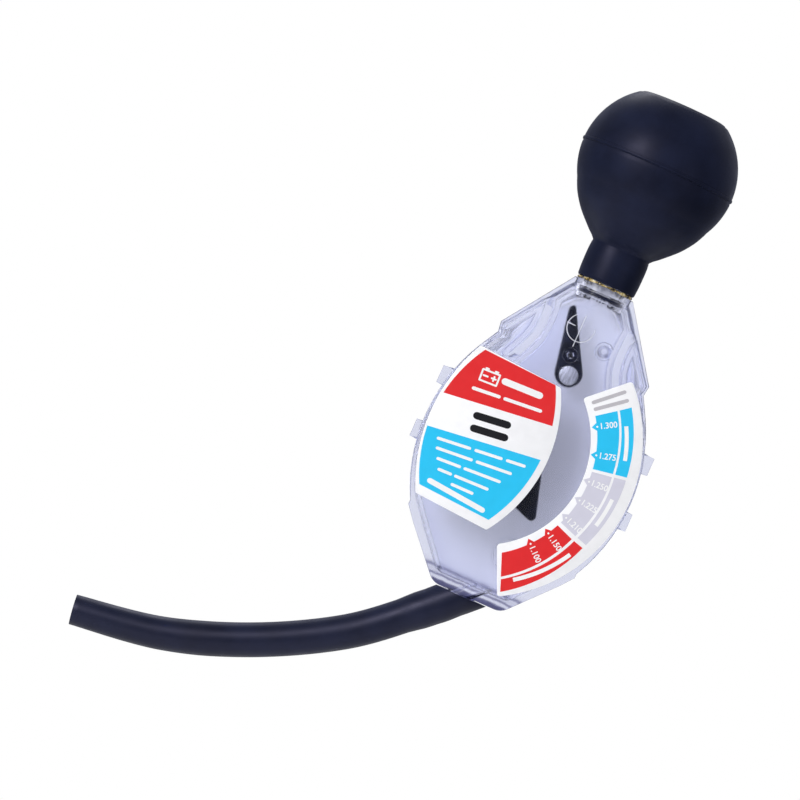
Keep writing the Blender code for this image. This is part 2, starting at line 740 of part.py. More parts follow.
def make_float_ballast(carrier):
    """The metal disc in the float's pocket."""
    place = BALLAST_OFFSET * from_straight_down(BALLAST_ANGLE)
    half = BALLAST_HALF_THICKNESS
    disc = rod("float_ballast", in_depth(place, -half), in_depth(place, half), BALLAST_RADIUS,
               SMALL_SEGMENTS)
    disc.parent = carrier
    return finish_piece(disc, "float_ballast", (0.55, 0.55, 0.56), 0.35, 1.0)


def plumb_rise():
    """The distance from the plumb's pivot up to the middle of its tip."""
    chamber_top = case_place(FACE_SHOULDER_SHARES[0]).y - CASE_WALL
    return chamber_top - plumb_pivot().y - PLUMB_TOP_CLEARANCE - PLUMB_TIP_RADIUS


def make_plumb_pointer():
    """The teardrop that hangs from its pivot, pocketed for its weight."""
    half = PLUMB_HALF_THICKNESS
    outline = teardrop(Vector((0, plumb_rise())), PLUMB_TIP_RADIUS,
                       Vector((0, -PLUMB_HEAD_DROP)), PLUMB_HEAD_RADIUS)
    piece = prism("plumb_pointer", outline, half, -half, edge=PLUMB_EDGE)
    bore = rod("bore", Vector((0, -half - OVERRUN, 0)), Vector((0, half + OVERRUN, 0)),
               PIN_RADIUS + SEAT_GAP, SMALL_SEGMENTS)
    place = Vector((0, -PLUMB_WEIGHT_DROP))
    floor = PLUMB_WEIGHT_THICKNESS + SEAT_GAP - half
    pocket = rod("pocket", in_depth(place, -half - OVERRUN), in_depth(place, floor),
                 PLUMB_WEIGHT_RADIUS + SEAT_GAP, SMALL_SEGMENTS)
    cut(piece, bore)
    cut(piece, pocket)
    piece.location = in_depth(plumb_pivot(), 0)
    piece.rotation_euler = (0, PLUMB_LEAN, 0)
    return finish_piece(piece, "plumb_pointer", (0.012, 0.013, 0.024), 0.4)


def make_plumb_weight(carrier):
    """The metal disc that shows in the plumb's round end."""
    place = Vector((0, -PLUMB_WEIGHT_DROP))
    front = -PLUMB_HALF_THICKNESS
    disc = rod("plumb_weight", in_depth(place, front), in_depth(place, front + PLUMB_WEIGHT_THICKNESS),
               PLUMB_WEIGHT_RADIUS, SMALL_SEGMENTS)
    disc.parent = carrier
    return finish_piece(disc, "plumb_weight", (0.50, 0.50, 0.51), 0.4, 1.0)


def make_pin(name, pivot):
    """A pivot pin that ends just short of the floor of each boss."""
    end = CASE_HALF_DEPTH - BOSS_FLOOR - SEAT_GAP
    pin = rod(name, in_depth(pivot, -end), in_depth(pivot, end), PIN_RADIUS, SMALL_SEGMENTS)
    return finish_piece(pin, name, (0.60, 0.60, 0.61), 0.3, 1.0)


def tube(name, line, radius, radii):
    """A round tube along a line, as a bevelled curve turned into a mesh."""
    curve = bpy.data.curves.new(name, "CURVE")
    curve.dimensions = "3D"
    curve.bevel_depth = radius
    curve.bevel_resolution = HOSE_RESOLUTION
    curve.use_fill_caps = True
    spline = curve.splines.new("POLY")
    spline.points.add(len(line) - 1)
    for point, place, wide in zip(spline.points, line, radii):
        point.co = (*place, 1)
        point.radius = wide / radius
    guide = bpy.data.objects.new(name, curve)
    bpy.context.scene.collection.objects.link(guide)
    view = bpy.context.evaluated_depsgraph_get()
    shape = bmesh.new()
    shape.from_mesh(guide.evaluated_get(view).to_mesh())
    bpy.data.objects.remove(guide)
    return add_object(name, shape)


def hose_line():
    """Even points along the hose's smooth route."""
    route = smooth_line([Vector(place) for place in HOSE_ROUTE], BALL_STEPS)
    length = sum((second - first).length for first, second in zip(route, route[1:]))
    count = round(length / (4 * HOSE_RADIUS))
    return [in_depth(place, 0) for place in even_line(route, count)]


def make_suction_hose():
    """The hose: wider over the spigot, a little thinner at its free end, and cut flat under the case."""
    line = hose_line()
    backwards = (line[0] - line[1]).normalized()
    start = line[0] + backwards * HOSE_START_OVERRUN
    end = line[-1] + (line[-1] - line[-2]).normalized() * OVERRUN
    middle_radii = [HOSE_RADIUS] * (len(line) - 2)
    hose = tube("suction_hose", [start] + line[1:], HOSE_RADIUS,
                [HOSE_SLEEVE_RADIUS] + middle_radii + [HOSE_END_RADIUS])
    bore_line = [start + backwards * OVERRUN] + line[1:-1] + [end]
    bore = tube("hose_bore", bore_line, HOSE_BORE_RADIUS, [HOSE_BORE_RADIUS] * len(line))
    cut(hose, bore)
    reach = CASE_HALF_WIDTH
    floor = CASE_BOTTOM - SEAT_GAP
    above = box("case_foot", Vector((-reach, -reach, floor)), Vector((reach, reach, floor + reach)))
    cut(hose, above)
    return finish_piece(hose, "suction_hose", (0.010, 0.011, 0.018), 0.45)


def clear_scene():
    for piece in list(bpy.data.objects):
        bpy.data.objects.remove(piece)


def main():
    clear_scene()
    make_squeeze_bulb()
    make_neck_adhesive_bead()
    make_neck_seal()
    make_shell("front_shell", -1)
    make_shell("back_shell", 1)
    make_face_label()
    make_scale_label()
    float_pointer = make_float_pointer()
    make_float_ballast(float_pointer)
    make_pin("float_pivot_pin", float_pivot())
    plumb_pointer = make_plumb_pointer()
    make_plumb_weight(plumb_pointer)
    make_pin("plumb_pivot_pin", plumb_pivot())
    make_suction_hose()
    bpy.context.view_layer.update()


main()
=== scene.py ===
import json
import math

import bmesh
import bpy
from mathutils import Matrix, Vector

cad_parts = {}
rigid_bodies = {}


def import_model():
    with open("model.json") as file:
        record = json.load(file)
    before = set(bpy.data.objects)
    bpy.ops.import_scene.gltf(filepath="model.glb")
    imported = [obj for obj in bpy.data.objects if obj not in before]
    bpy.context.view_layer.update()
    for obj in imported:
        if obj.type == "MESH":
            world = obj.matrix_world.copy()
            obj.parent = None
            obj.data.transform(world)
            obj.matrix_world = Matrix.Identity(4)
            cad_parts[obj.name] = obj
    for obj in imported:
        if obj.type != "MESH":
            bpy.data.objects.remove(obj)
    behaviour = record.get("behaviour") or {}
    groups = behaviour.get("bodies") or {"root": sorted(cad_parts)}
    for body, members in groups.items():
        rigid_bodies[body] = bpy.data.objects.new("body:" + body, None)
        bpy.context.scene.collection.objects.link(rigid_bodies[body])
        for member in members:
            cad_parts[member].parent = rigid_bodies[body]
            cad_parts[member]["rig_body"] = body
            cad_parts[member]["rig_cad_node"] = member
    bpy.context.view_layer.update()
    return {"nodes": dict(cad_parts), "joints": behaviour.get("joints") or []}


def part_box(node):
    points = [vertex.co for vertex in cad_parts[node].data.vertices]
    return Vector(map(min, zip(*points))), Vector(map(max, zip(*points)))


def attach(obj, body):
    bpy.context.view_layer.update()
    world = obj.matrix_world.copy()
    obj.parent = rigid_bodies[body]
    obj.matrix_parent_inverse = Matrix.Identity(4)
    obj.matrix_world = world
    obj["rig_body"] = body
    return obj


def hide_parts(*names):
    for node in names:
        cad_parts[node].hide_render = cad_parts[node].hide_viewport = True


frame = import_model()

bl_info = {
    "name": "Dial hydrometer",
    "version": (1, 0, 0),
    "blender": (4, 5, 0),
    "location": "View3D > Sidebar > Hydrometer",
    "description": "Dresses the packed frame of a battery hydrometer with its visible pieces",
    "category": "Add Mesh",
}

MM = 0.001

# Places that the frame gives, those of the joints in the dial's plane
JOINT_PLACES = {joint["name"]: Vector(joint["pos_m"]).xz for joint in frame["joints"]}
FLOAT_PIVOT = JOINT_PLACES["float_swing"]
PLUMB_PIVOT = JOINT_PLACES["plumb_swing"]
LABEL_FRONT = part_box("face_label")[0].y
LABEL_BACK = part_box("face_label")[1].y
CASE_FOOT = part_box("suction_hose")[1].z
CASE_MIDDLE = Vector((0, 0, -0.0898))

# Bulb: radii and heights down its outside from the flat top, and up its hollow inside. The rim counts
# from the flat's edge, the seam from its own crest, the groove from the ball, the neck from its radius
BULB_TOP = 0.0200
BULB_RIM = (
    (-0.0014, 0), (-0.00115, -0.00012), (-0.0009, 0), (-0.0006, -0.00002), (-0.0002, -0.00014),
    (0.0001, -0.00036),
)
BULB_RIM_DROP = 0.0007
SEAM_TOP = 0.0005
SEAM_CREST = ((-0.00008, 0.00042), (0, 0.00012), (0, -0.00012), (-0.00010, -0.00040))
SEAM_GROOVE = ((-0.00014, -0.00058), (-0.00012, -0.00085))
SEAM_FOOT = -0.0012
BULB_BALL_END = -0.01141
BULB_CONE = (
    (0.02078, -0.0127), (0.01912, -0.0160), (0.01618, -0.0200), (0.01215, -0.0240), (0.0108, -0.0252),
)
NECK_SIDE = (
    (0.0010, -0.0257), (0.00040, -0.0263), (0.00006, -0.0267), (-0.00004, -0.0270),
    (0.00006, -0.02735), (0.00018, -0.0285), (0.00024, -0.0300), (0.00024, -0.0325),
    (0.00018, -0.0352), (0.00004, -0.0370), (-0.00002, -0.0377), (-0.00022, -0.03806),
    (-0.0005, -0.0381),
)
NECK_BORE = 0.00765
BULB_INNER = (
    (NECK_BORE, -0.0381), (NECK_BORE, -0.0320), (NECK_BORE, -0.0252), (0.0130, -0.0206),
    (0.0142, -0.0186), (0.0173, -0.0142),
)
BULB_INNER_BALL = -0.0105
BULB_INNER_POLE = 0.0001
BULB_WALL = 0.0022

# Rings about the neck's axis: radius of the ring, of its section, and steps round each
GLUE_RING = (0.00858, 0.00040, 220, 14)
GLUE_HEIGHT = -0.03866
GLUE_ROUGHNESS = 0.00016
GLUE_WAVE_SIZE = 0.0024
GLUE_WAVE_DEPTH = 0.00095
SEAL_RING = (0.00630, 0.00076, 96, 12)
SEAL_FLATNESS = 0.75
SEAL_SHADE = 0.8

# Hose: its route in the dial's plane, its length, its radii and where they change. Its sleeve has
# slight waves, and its root runs on up into the case until a cube trims it at the foot
HOSE_ROUTE = (
    (-0.00162, -0.14074), (-0.01107, -0.14974), (-0.02871, -0.16468),
    (-0.05292, -0.17815), (-0.07878, -0.18760), (-0.10620, -0.19200),
)
HOSE_LENGTH = 0.1192
HOSE_STEPS = 64
HOSE_BORE = 0.0033
HOSE_END = 0.00462
HOSE_SLEEVE = 0.0057
HOSE_SLEEVE_RUN = 0.0125
HOSE_SLEEVE_FADE = 0.006
HOSE_WAVE_HEIGHT = 0.00006
HOSE_WAVE_RATE = 2600
HOSE_TAPER_START = 0.080
HOSE_ROOT = 0.008
HOSE_TRIM = 0.06
HOSE_EDGE = 0.00022

# Corners of flat pieces: how far they are rounded, in how many steps, and their least angle
FACE_LABEL_CORNER = (0.0005, 4, 30)
SCALE_CORNER = (0.0009, 5, 40)
FLOAT_CORNER = (0.0012, 4, 30)

# Inks beside the colours that a user may change
BAR_WHITE = (0.92, 0.92, 0.93)
NUMBER_WHITE = (0.94, 0.94, 0.95)
HEADING_GREY = (0.52, 0.50, 0.54)
MARK_WHITE = (0.66, 0.67, 0.74)

# Face label: its outline's arcs, the circles at the prints' sides, and the lines round the bands
FACE_LABEL_LEFT = ((-0.02678, -0.11793), (-0.03263, -0.09435), (-0.02698, -0.06986))
FACE_LABEL_RIGHT = ((0.0, -0.07169), (0.00531, -0.09259), (-0.00299, -0.11945))
PRINT_LEFT = (Vector((0.01326, -0.0942)), 0.0452)
PRINT_RIGHT = (Vector((-0.0421, -0.0924)), 0.0454)
RED_TOP = ((-0.0251, -0.0705), (-0.0021, -0.0716))
RED_FOOT = ((-0.03165, -0.0873), (0.0021, -0.0832))
BLUE_TOP = ((-0.0320, -0.0982), (0.0026, -0.0939))
BLUE_FOOT = ((-0.0266, -0.11515), (-0.0045, -0.1164))
# Bars between two lines of the label: share of the height, start and end shares, thickness
RED_BARS = ((0.40, 0.43, 0.84, 0.0020), (0.74, 0.20, 0.46, 0.0010), (0.74, 0.52, 0.88, 0.0010))
BLUE_BARS = (
    (0.15, 0.12, 0.42, 0.0009), (0.15, 0.48, 0.72, 0.0009), (0.15, 0.78, 0.94, 0.0009),
    (0.31, 0.13, 0.48, 0.0009), (0.31, 0.54, 0.88, 0.0009),
    (0.47, 0.16, 0.40, 0.0009), (0.47, 0.46, 0.84, 0.0009),
    (0.63, 0.20, 0.34, 0.0009), (0.63, 0.40, 0.78, 0.0009), (0.77, 0.40, 0.66, 0.0009),
)
DARK_BARS = ((0.34, 0.36, 0.64, 0.0022), (0.70, 0.38, 0.66, 0.0022))
LOWEST_BAR = ((-0.0244, -0.1129), (-0.0065, -0.11455), 0.0016)
# Battery sign: its place in the red band, its rise from there, and its strokes in millimetres
BATTERY_PLACE = (0.27, 0.47)
BATTERY_RISE = 0.0006
BATTERY_STROKES = (
    ((-2.7, -1.8), (2.7, -1.8)), ((2.7, -1.8), (2.7, 1.6)), ((2.7, 1.6), (-2.7, 1.6)),
    ((-2.7, 1.6), (-2.7, -1.8)), ((-1.9, 2.15), (-1.1, 2.15)), ((1.1, 2.15), (1.9, 2.15)),
    ((-1.95, -0.1), (-0.65, -0.1)), ((0.65, -0.1), (1.95, -0.1)), ((1.3, -0.75), (1.3, 0.55)),
)
BATTERY_LINE = 0.00055

# Scale: radii and angles about the float's pivot, counted from straight down towards +X
SCALE_INNER = 0.03169
SCALE_OUTER = 0.04724
SCALE_INNER_SPAN = (30.8, 136.3)
SCALE_OUTER_SPAN = (28.6, 135.2)
SCALE_MARKS = (
    ("1.100", 47.7), ("1.150", 58.0), ("1.210", 69.9), ("1.225", 81.0),
    ("1.250", 91.6), ("1.275", 105.5), ("1.300", 120.0),
)
# Each printed block: start and end angles at its inner edge, then how far they turn by its outer
# edge, then its radii at the start and at the end
SCALE_BLOCKS = (
    ("red", (32.7, 64.2), (-1.9, 0.8), (0.03443, 0.04150), (0.03383, 0.03973)),
    ("red", (30.7, 65.2), (-0.8, 0.7), (0.04225, 0.04600), (0.04060, 0.04385)),
    ("grey", (66.3, 96.9), (0.7, 0.3), (0.03383, 0.03973), (0.03350, 0.03970)),
    ("grey", (67.2, 97.3), (0.4, 0.2), (0.04055, 0.04385), (0.04040, 0.04400)),
    ("blue", (98.3, 125.6), (0.3, 0.2), (0.03350, 0.03970), (0.03369, 0.04045)),
    ("blue", (98.6, 125.8), (0.1, 0.2), (0.04040, 0.04400), (0.04114, 0.04481)),
)
BLOCK_STEPS = 24
# Bars along the scale: their angles and radius
SCALE_BARS = (((35.5, 60.5), 0.0430), ((76.0, 88.5), 0.0422), ((105.0, 119.0), 0.0424))
SCALE_BAR_WIDTH = 0.0012
# Bars across the scale's upper end: their angles, radii and thickness
HEADING_ANGLES = (132.4, 128.9)
HEADING_RADII = (0.0342, 0.0440)
HEADING_WIDTH = 0.0011
# Pointed tab at a number: steps in angle and radius from the block's inner edge
TAB_CORNERS = ((-2.0, 0.0002), (-1.9, -0.0001), (0, -0.00155), (1.9, -0.0001), (2.0, 0.0002))
NUMBER_GAP = 0.0008
NUMBER_WIDTH = 0.95
NUMBER_BOLDNESS = 0.00004
DOT_GAP = 0.00015
DOT_RADIUS = 0.00030
LABEL_EDGE = 0.00006
# Layers that cross each other stand this far apart, so that no two faces share a place
LAYER_STEP = 0.000002

# Float and plumb outlines about their pivots. The rods that cut their holes reach through them
FLOAT_RADIUS = 0.0150
FLOAT_SPAN = (35.5, -180.0)
FLOAT_REACH = 0.02709
FLOAT_TIP_ANGLE = 55.3
FLOAT_TIP_RADIUS = 0.0015
FLOAT_TIP_SPAN = (107.0, -20.5)
FLOAT_BACK = ((0.01140, 0.01200), (0.01799, 0.00420))
FLOAT_HALF = 0.0030
FLOAT_THROUGH = 0.004
FLOAT_POCKET_PLACE = (-0.0065054, -0.0065054)
FLOAT_POCKET_FLOOR = -0.0025
FLOAT_POCKET_RADIUS = 0.0049
PLUMB_RISE = 0.014275
PLUMB_TIP_RADIUS = 0.0010
PLUMB_DROP = 0.0054
PLUMB_HEAD = 0.0042
PLUMB_HALF = 0.0016
PLUMB_THROUGH = 0.003
PLUMB_EDGE_SHARE = 0.6
PLUMB_LEAN = -20.5
PLUMB_WEIGHT_DROP = 0.0061
PLUMB_WEIGHT_RADIUS = 0.0029
PLUMB_WEIGHT_THICKNESS = 0.0019
PIN_HOLE = 0.00095
POCKET_GAP = 0.0002
POCKET_FLOOR_GAP = 0.0003
DISC_EDGE = 0.00018

# Case: depths from the seam of the flange's outer face and of the raised face, and thin walls that
# aren't rounded, at the neck, round the inner ring and at the grooves' ends
FLANGE_STEP = 0.0021
FACE_STEP = 0.00852
NECK_ROOT = -0.0478
INNER_RING_PLACE = (0.00675, -0.12362)
INNER_RING_REACH = 0.0066
THIN_WALL_ASIDE = 0.0205
THIN_WALL_FOOT = -0.0775
SHORTEST_ROUNDED = 0.0006
LEAST_ROUNDED_ANGLE = 55
# Painted shadow in the back half's tint, standing for the labels' shadow on it: where it is deepest, how
# far it reaches across, through and up, and its shades
MIDDLE = (0.004, 0.0, -0.092)
MIDDLE_REACH = (0.026, 1.0, 0.036)
PAINTED_SHADOW_STOPS = ((0.15, (0.74, 0.74, 0.77)), (0.6, (0.88, 0.88, 0.90)), (1.0, (1, 1, 1)))
CLEAR_INDEX = 1.30
CLEAR_ROUGHNESS = (0.18, 0.24)
INNER_METAL_SHADE = 0.045
BACK_HAZE = 0.34
HAZE_END = FACE_STEP - 0.002

# Painted refraction in the clear foot: dark and light bands that stand in for the light its thick walls
# bend, from its edge upwards: share of the height and share of the tint
PAINTED_REFRACTION_BANDS = (
    (0.0, 0.72), (0.06, 0.72), (0.11, 0.32), (0.26, 0.40), (0.33, 0.94), (0.40, 0.94), (0.46, 0.52),
    (0.53, 0.90), (0.66, 0.90), (0.74, 0.58), (0.84, 0.94), (1.0, 1.0),
)
FOOT_HEIGHT = 0.008
FOOT_WAVER = 0.0012
FOOT_BLUE = 0.72

# White marks over the plumb: lines with how far their moulded ridges rise from the case's face
CASE_FACE = -0.0085
MARK_CENTRE = (-0.001801, -0.053044)
MARK_RING = 0.0042
MARK_RING_SPAN = (-140, 105)
MARK_RING_RISE = 0.00025
MARK_LINES = (
    ((-0.001801, -0.048915), (-0.001801, -0.059035), 0.00030),
    ((-0.0063, -0.052944), (-0.003595, -0.052944), 0.00020),
)
MARK_WIDTH = 0.00023
MARK_PROUD = 0.00003
MARK_SUNK = 0.00002

# Camera, floor, lamps and room
CAMERA_TARGET = Vector((-0.0423, 0, -0.0946))
CAMERA_DISTANCE = 1.5
CAMERA_LENS = 225.0
CAMERA_SENSOR = 36.0
CAMERA_ROLL = -24.1
FLOOR_PLACE = (-0.03, 0, -0.32)
FLOOR_RADIUS = 0.5
PICTURE_RIGHT = Vector((0.9128, 0, 0.4083))
PICTURE_UP = Vector((-0.4083, 0, 0.9128))
PICTURE_FRONT = Vector((0, -1, 0))
# Each lamp: steps to the right, up and to the front of the picture, size and power
LAMPS = (
    ("key_lamp", (-0.42, 0.50, 0.75), 0.42, 5.9),
    ("fill_lamp", (0.60, -0.10, 0.75), 0.50, 0.5),
    ("rear_lamp", (0.10, 0.70, -0.60), 0.50, 1.2),
)
# What clear plastic shows of the room, from straight in front to straight behind
ROOM_THROUGH = (
    (0.0, (0.32, 0.33, 0.39)), (0.28, (0.46, 0.48, 0.62)), (0.50, (0.62, 0.64, 0.80)),
    (0.68, (0.74, 0.76, 0.92)), (0.88, (0.92, 0.93, 1.0)), (1.0, (1.0, 1.0, 1.0)),
)


def length(name, description, default):
    return bpy.props.FloatProperty(name=name, description=description, default=default,
                                   unit="LENGTH", subtype="DISTANCE")


def colour(name, description, default):
    return bpy.props.FloatVectorProperty(name=name, description=description, default=default,
                                         subtype="COLOR", min=0, max=1)


class HydrometerSizes(bpy.types.PropertyGroup):
    """Sizes that a user may change."""

    bulb_radius: length("Bulb radius", "Radius of the squeeze bulb's ball", 0.02415)
    seam_height: length("Seam height", "How far the bulb's moulding seam stands out", 0.00028)
    neck_radius: length("Neck radius", "Radius of the bulb's neck at its foot", 0.0092)
    hose_radius: length("Hose radius", "Outer radius of the suction hose", 0.00525)
    case_round: length("Case rounding", "Rounding of the clear case's moulded edges", 0.00030)
    ink_thickness: length("Ink thickness", "Thickness of the printed layers on the labels", 0.00003)
    number_height: length("Number size", "Type size of the numbers on the scale", 0.00255)
    edge_round: length("Edge rounding", "Rounding of the float's and plumb's moulded edges", 0.0005)


class HydrometerColours(bpy.types.PropertyGroup):
    """Colours that a user may change."""

    rubber: colour("Rubber", "Colour of the bulb and the hose", (0.0066, 0.0094, 0.0250))
    clear: colour("Clear plastic", "Tint that one surface of the case gives to light",
                  (0.846, 0.858, 0.934))
    label: colour("Label white", "Colour of the bare label", (0.95, 0.95, 0.975))
    red: colour("Red print", "Colour of the red print", (0.78, 0.022, 0.026))
    blue: colour("Blue print", "Colour of the blue print", (0.020, 0.56, 0.92))
    grey: colour("Grey print", "Colour of the grey print", (0.66, 0.65, 0.76))
    dark: colour("Dark print", "Colour of the dark bars", (0.012, 0.012, 0.016))
    pointer: colour("Pointer plastic", "Colour of the float and the plumb", (0.0050, 0.0062, 0.0140))
    metal: colour("Weight metal", "Colour of the metal weights and pins", (0.74, 0.74, 0.75))
    glue: colour("Glue", "Colour of the glue round the neck", (0.42, 0.30, 0.09))
    floor: colour("Floor", "Colour of the floor", (0.90, 0.90, 0.90))


def sizes():
    return bpy.context.scene.hydrometer_sizes


def colours():
    return bpy.context.scene.hydrometer_colours


def deselect_all():
    if bpy.context.mode != "OBJECT":
        bpy.ops.object.mode_set(mode="OBJECT")
    bpy.ops.object.select_all(action="DESELECT")


def only(*pieces):
    """Selects these pieces alone and makes the first one active."""
    deselect_all()
    for piece in pieces:
        piece.select_set(True)
    bpy.context.view_layer.objects.active = pieces[0]


def edit_all():
    """Goes into edit mode with the whole mesh selected."""
    bpy.ops.object.mode_set(mode="EDIT")
    bpy.ops.mesh.select_all(action="SELECT")


def settle(piece):
    """Applies a piece's place, turn and scale to its mesh."""
    only(piece)
    bpy.ops.object.transform_apply(location=True, rotation=True, scale=True)


def point_outwards(piece):
    only(piece)
    edit_all()
    bpy.ops.mesh.remove_doubles(threshold=1e-7)
    bpy.ops.mesh.normals_make_consistent(inside=False)
    bpy.ops.object.mode_set(mode="OBJECT")


def smooth(piece, angle=32):
    only(piece)
    bpy.ops.object.shade_smooth_by_angle(angle=math.radians(angle))


def configure(target, **settings):
    """Sets several properties of one thing."""
    for name, value in settings.items():
        setattr(target, name, value)


def added(operator, **settings):
    """Runs an operator that adds an object, and gives the object."""
    deselect_all()
    operator(**settings)
    return bpy.context.object


def modify(piece, kind, **settings):
    """Gives a piece a modifier with its settings, and applies it."""
    change = piece.modifiers.new(kind, kind)
    configure(change, **settings)
    only(piece)
    bpy.ops.object.modifier_apply(modifier=change.name)


def round_edges(piece, width, segments, angle):
    """Rounds a piece's sharp edges."""
    modify(piece, "BEVEL", width=width, segments=segments, limit_method="ANGLE",
           angle_limit=math.radians(angle))


def cut(piece, tool):
    """Cuts a tool out of a piece and removes the tool."""
    modify(piece, "BOOLEAN", operation="DIFFERENCE", solver="EXACT", object=tool)
    bpy.data.objects.remove(tool)


def bevel_where(piece, wanted, width, segments):
    """Rounds the edges that a test picks."""
    only(piece)
    bpy.ops.object.mode_set(mode="EDIT")
    bpy.ops.mesh.select_mode(type="EDGE")
    bpy.ops.mesh.select_all(action="DESELECT")
    shape = bmesh.from_edit_mesh(piece.data)
    for edge in shape.edges:
        edge.select = wanted(edge)
    bmesh.update_edit_mesh(piece.data)
    bpy.ops.mesh.bevel(offset=width, segments=segments, affect="EDGES", clamp_overlap=False)
    bpy.ops.object.mode_set(mode="OBJECT")


def round_corners(piece, width, segments, angle):
    """Rounds a plate's corners, seen from the front."""
    def is_corner(edge):
        along = (edge.verts[1].co - edge.verts[0].co).normalized()
        return abs(along.y) > 0.99 and edge.calc_face_angle(0) > math.radians(angle)

    bevel_where(piece, is_corner, width, segments)


def joined(pieces):
    only(*pieces)
    if len(pieces) > 1:
        bpy.ops.object.join()
    return bpy.context.object


def finish(piece, name, material, body):
    """Names a finished piece, gives it its material and lets it ride on its body."""
    settle(piece)
    piece.name = name
    piece.data.name = name
    piece.data.materials.clear()
    piece.data.materials.append(material)
    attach(piece, body)
    return piece


def between(start, end, share):
    """The value or place at a share of the way from one to another."""
    return start + (end - start) * share


def direction(degrees):
    """The unit step in the dial's plane at an angle from straight down towards +X."""
    angle = math.radians(degrees)
    return Vector((math.sin(angle), -math.cos(angle)))


def around_float(angle, radius):
    """The place in the dial's plane at an angle and a radius about the float's pivot."""
    return FLOAT_PIVOT + direction(angle) * radius


def arc(centre, radius, start, end, steps):
    """Places of a round stretch between two angles counted from straight down."""
    centre = Vector(centre)
    return [centre + radius * direction(start + (end - start) * step / steps)
            for step in range(steps + 1)]


def arc_through(first, middle, last, steps):
    """Places of the circle stretch from the first place to the last one past the middle one."""
    first, middle, last = Vector(first), Vector(middle), Vector(last)
    across = middle - first
    along = last - first
    twist = 2 * across.cross(along)
    centre = first + Vector((along.y * across.length_squared - across.y * along.length_squared,
                             across.x * along.length_squared - along.x * across.length_squared)) / twist
    start, past, end = (math.degrees(math.atan2(place.x - centre.x, centre.y - place.y))
                        for place in (first, middle, last))
    sweep = (end - start) % 360
    if (past - start) % 360 > sweep:
        sweep -= 360
    return arc(centre, (first - centre).length, start, start + sweep, steps)


def smooth_line(places, steps):
    """Places of a smooth curve through a list of places."""
    places = [Vector(place) for place in places]
    line = []
    last = len(places) - 1
    for number in range(last):
        before = places[max(number - 1, 0)]
        start = places[number]
        end = places[number + 1]
        after = places[min(number + 2, last)]
        for step in range(steps):
            share = step / steps
            line.append(0.5 * (2 * start + share * (end - before)
                               + share ** 2 * (2 * before - 5 * start + 4 * end - after)
                               + share ** 3 * (3 * start - before - 3 * end + after)))
    line.append(places[last])
    return line


def even_line(line, count):
    """A line's places again, a given number of equal steps apart."""
    runs = [0.0]
    for start, end in zip(line, line[1:]):
        runs.append(runs[-1] + (end - start).length)
    even = []
    for step in range(count + 1):
        wanted = runs[-1] * step / count
        number = max(1, next((n for n, run in enumerate(runs) if run >= wanted), len(runs) - 1))
        share = (wanted - runs[number - 1]) / (runs[number] - runs[number - 1])
        even.append(line[number - 1].lerp(line[number], share))
    return even


def ribbon(line, width):
    """The outline of a thin stroke along a line."""
    left = []
    right = []
    for number, here in enumerate(line):
        before = line[max(number - 1, 0)]
        after = line[min(number + 1, len(line) - 1)]
        along = (after - before).normalized()
        aside = Vector((-along.y, along.x)) * (width / 2)
        left.append(here + aside)
        right.append(here - aside)
    return left + list(reversed(right))


def round_bar(start, end, width):
    """The outline of a straight bar with round ends."""
    start, end = Vector(start), Vector(end)
    turn = math.degrees(math.atan2(end.y - start.y, end.x - start.x))
    return arc(end, width / 2, turn, turn + 180, 6) + arc(start, width / 2, turn + 180, turn + 360, 6)


def plate(outline, front, back):
    """A flat plate: its outline is traced point by point, filled and pushed from front to back."""
    first = outline[0]
    piece = added(bpy.ops.mesh.primitive_plane_add, size=MM, location=(first.x, front, first.y))
    bpy.ops.object.mode_set(mode="EDIT")
    bpy.ops.mesh.select_mode(type="VERT")
    bpy.ops.mesh.merge(type="CENTER")
    for before, here in zip(outline, outline[1:]):
        step = (here.x - before.x, 0, here.y - before.y)
        bpy.ops.mesh.extrude_region_move(TRANSFORM_OT_translate={"value": step})
    bpy.ops.mesh.select_all(action="DESELECT")
    shape = bmesh.from_edit_mesh(piece.data)
    for vert in shape.verts:
        vert.select = len(vert.link_edges) == 1
    bmesh.update_edit_mesh(piece.data)
    bpy.ops.mesh.edge_face_add()
    bpy.ops.mesh.select_all(action="SELECT")
    bpy.ops.mesh.edge_face_add()
    bpy.ops.mesh.extrude_region_move(TRANSFORM_OT_translate={"value": (0, back - front, 0)})
    bpy.ops.mesh.select_all(action="SELECT")
    bpy.ops.mesh.normals_make_consistent(inside=False)
    bpy.ops.object.mode_set(mode="OBJECT")
    settle(piece)
    return piece


def stacked(profile, segments):
    """A turned body: a ring that is extruded and resized from one radius and height to the next."""
    radius, height = profile[1]
    piece = added(bpy.ops.mesh.primitive_circle_add, vertices=segments, radius=radius,
                  fill_type="TRIFAN", location=(0, 0, profile[0][1]))
    bpy.ops.object.mode_set(mode="EDIT")
    bpy.ops.mesh.select_mode(type="EDGE")
    bpy.ops.mesh.region_to_loop()
    bpy.ops.transform.translate(value=(0, 0, height - profile[0][1]))
    for before, here in zip(profile[1:], profile[2:]):
        rise = here[1] - before[1]
        bpy.ops.mesh.extrude_region_move(TRANSFORM_OT_translate={"value": (0, 0, rise)})
        grow = here[0] / before[0]
        bpy.ops.transform.resize(value=(grow, grow, 1), center_override=(0, 0, here[1]))
    bpy.ops.mesh.merge(type="CENTER")
    bpy.ops.object.mode_set(mode="OBJECT")
    settle(piece)
    point_outwards(piece)
    return piece


def cylinder(place, low, high, radius, vertices):
    """A round rod along Y at a place of the dial's plane."""
    piece = added(
        bpy.ops.mesh.primitive_cylinder_add, vertices=vertices, radius=radius, depth=high - low,
        location=(place[0], (low + high) / 2, place[1]), rotation=(math.pi / 2, 0, 0))
    settle(piece)
    return piece


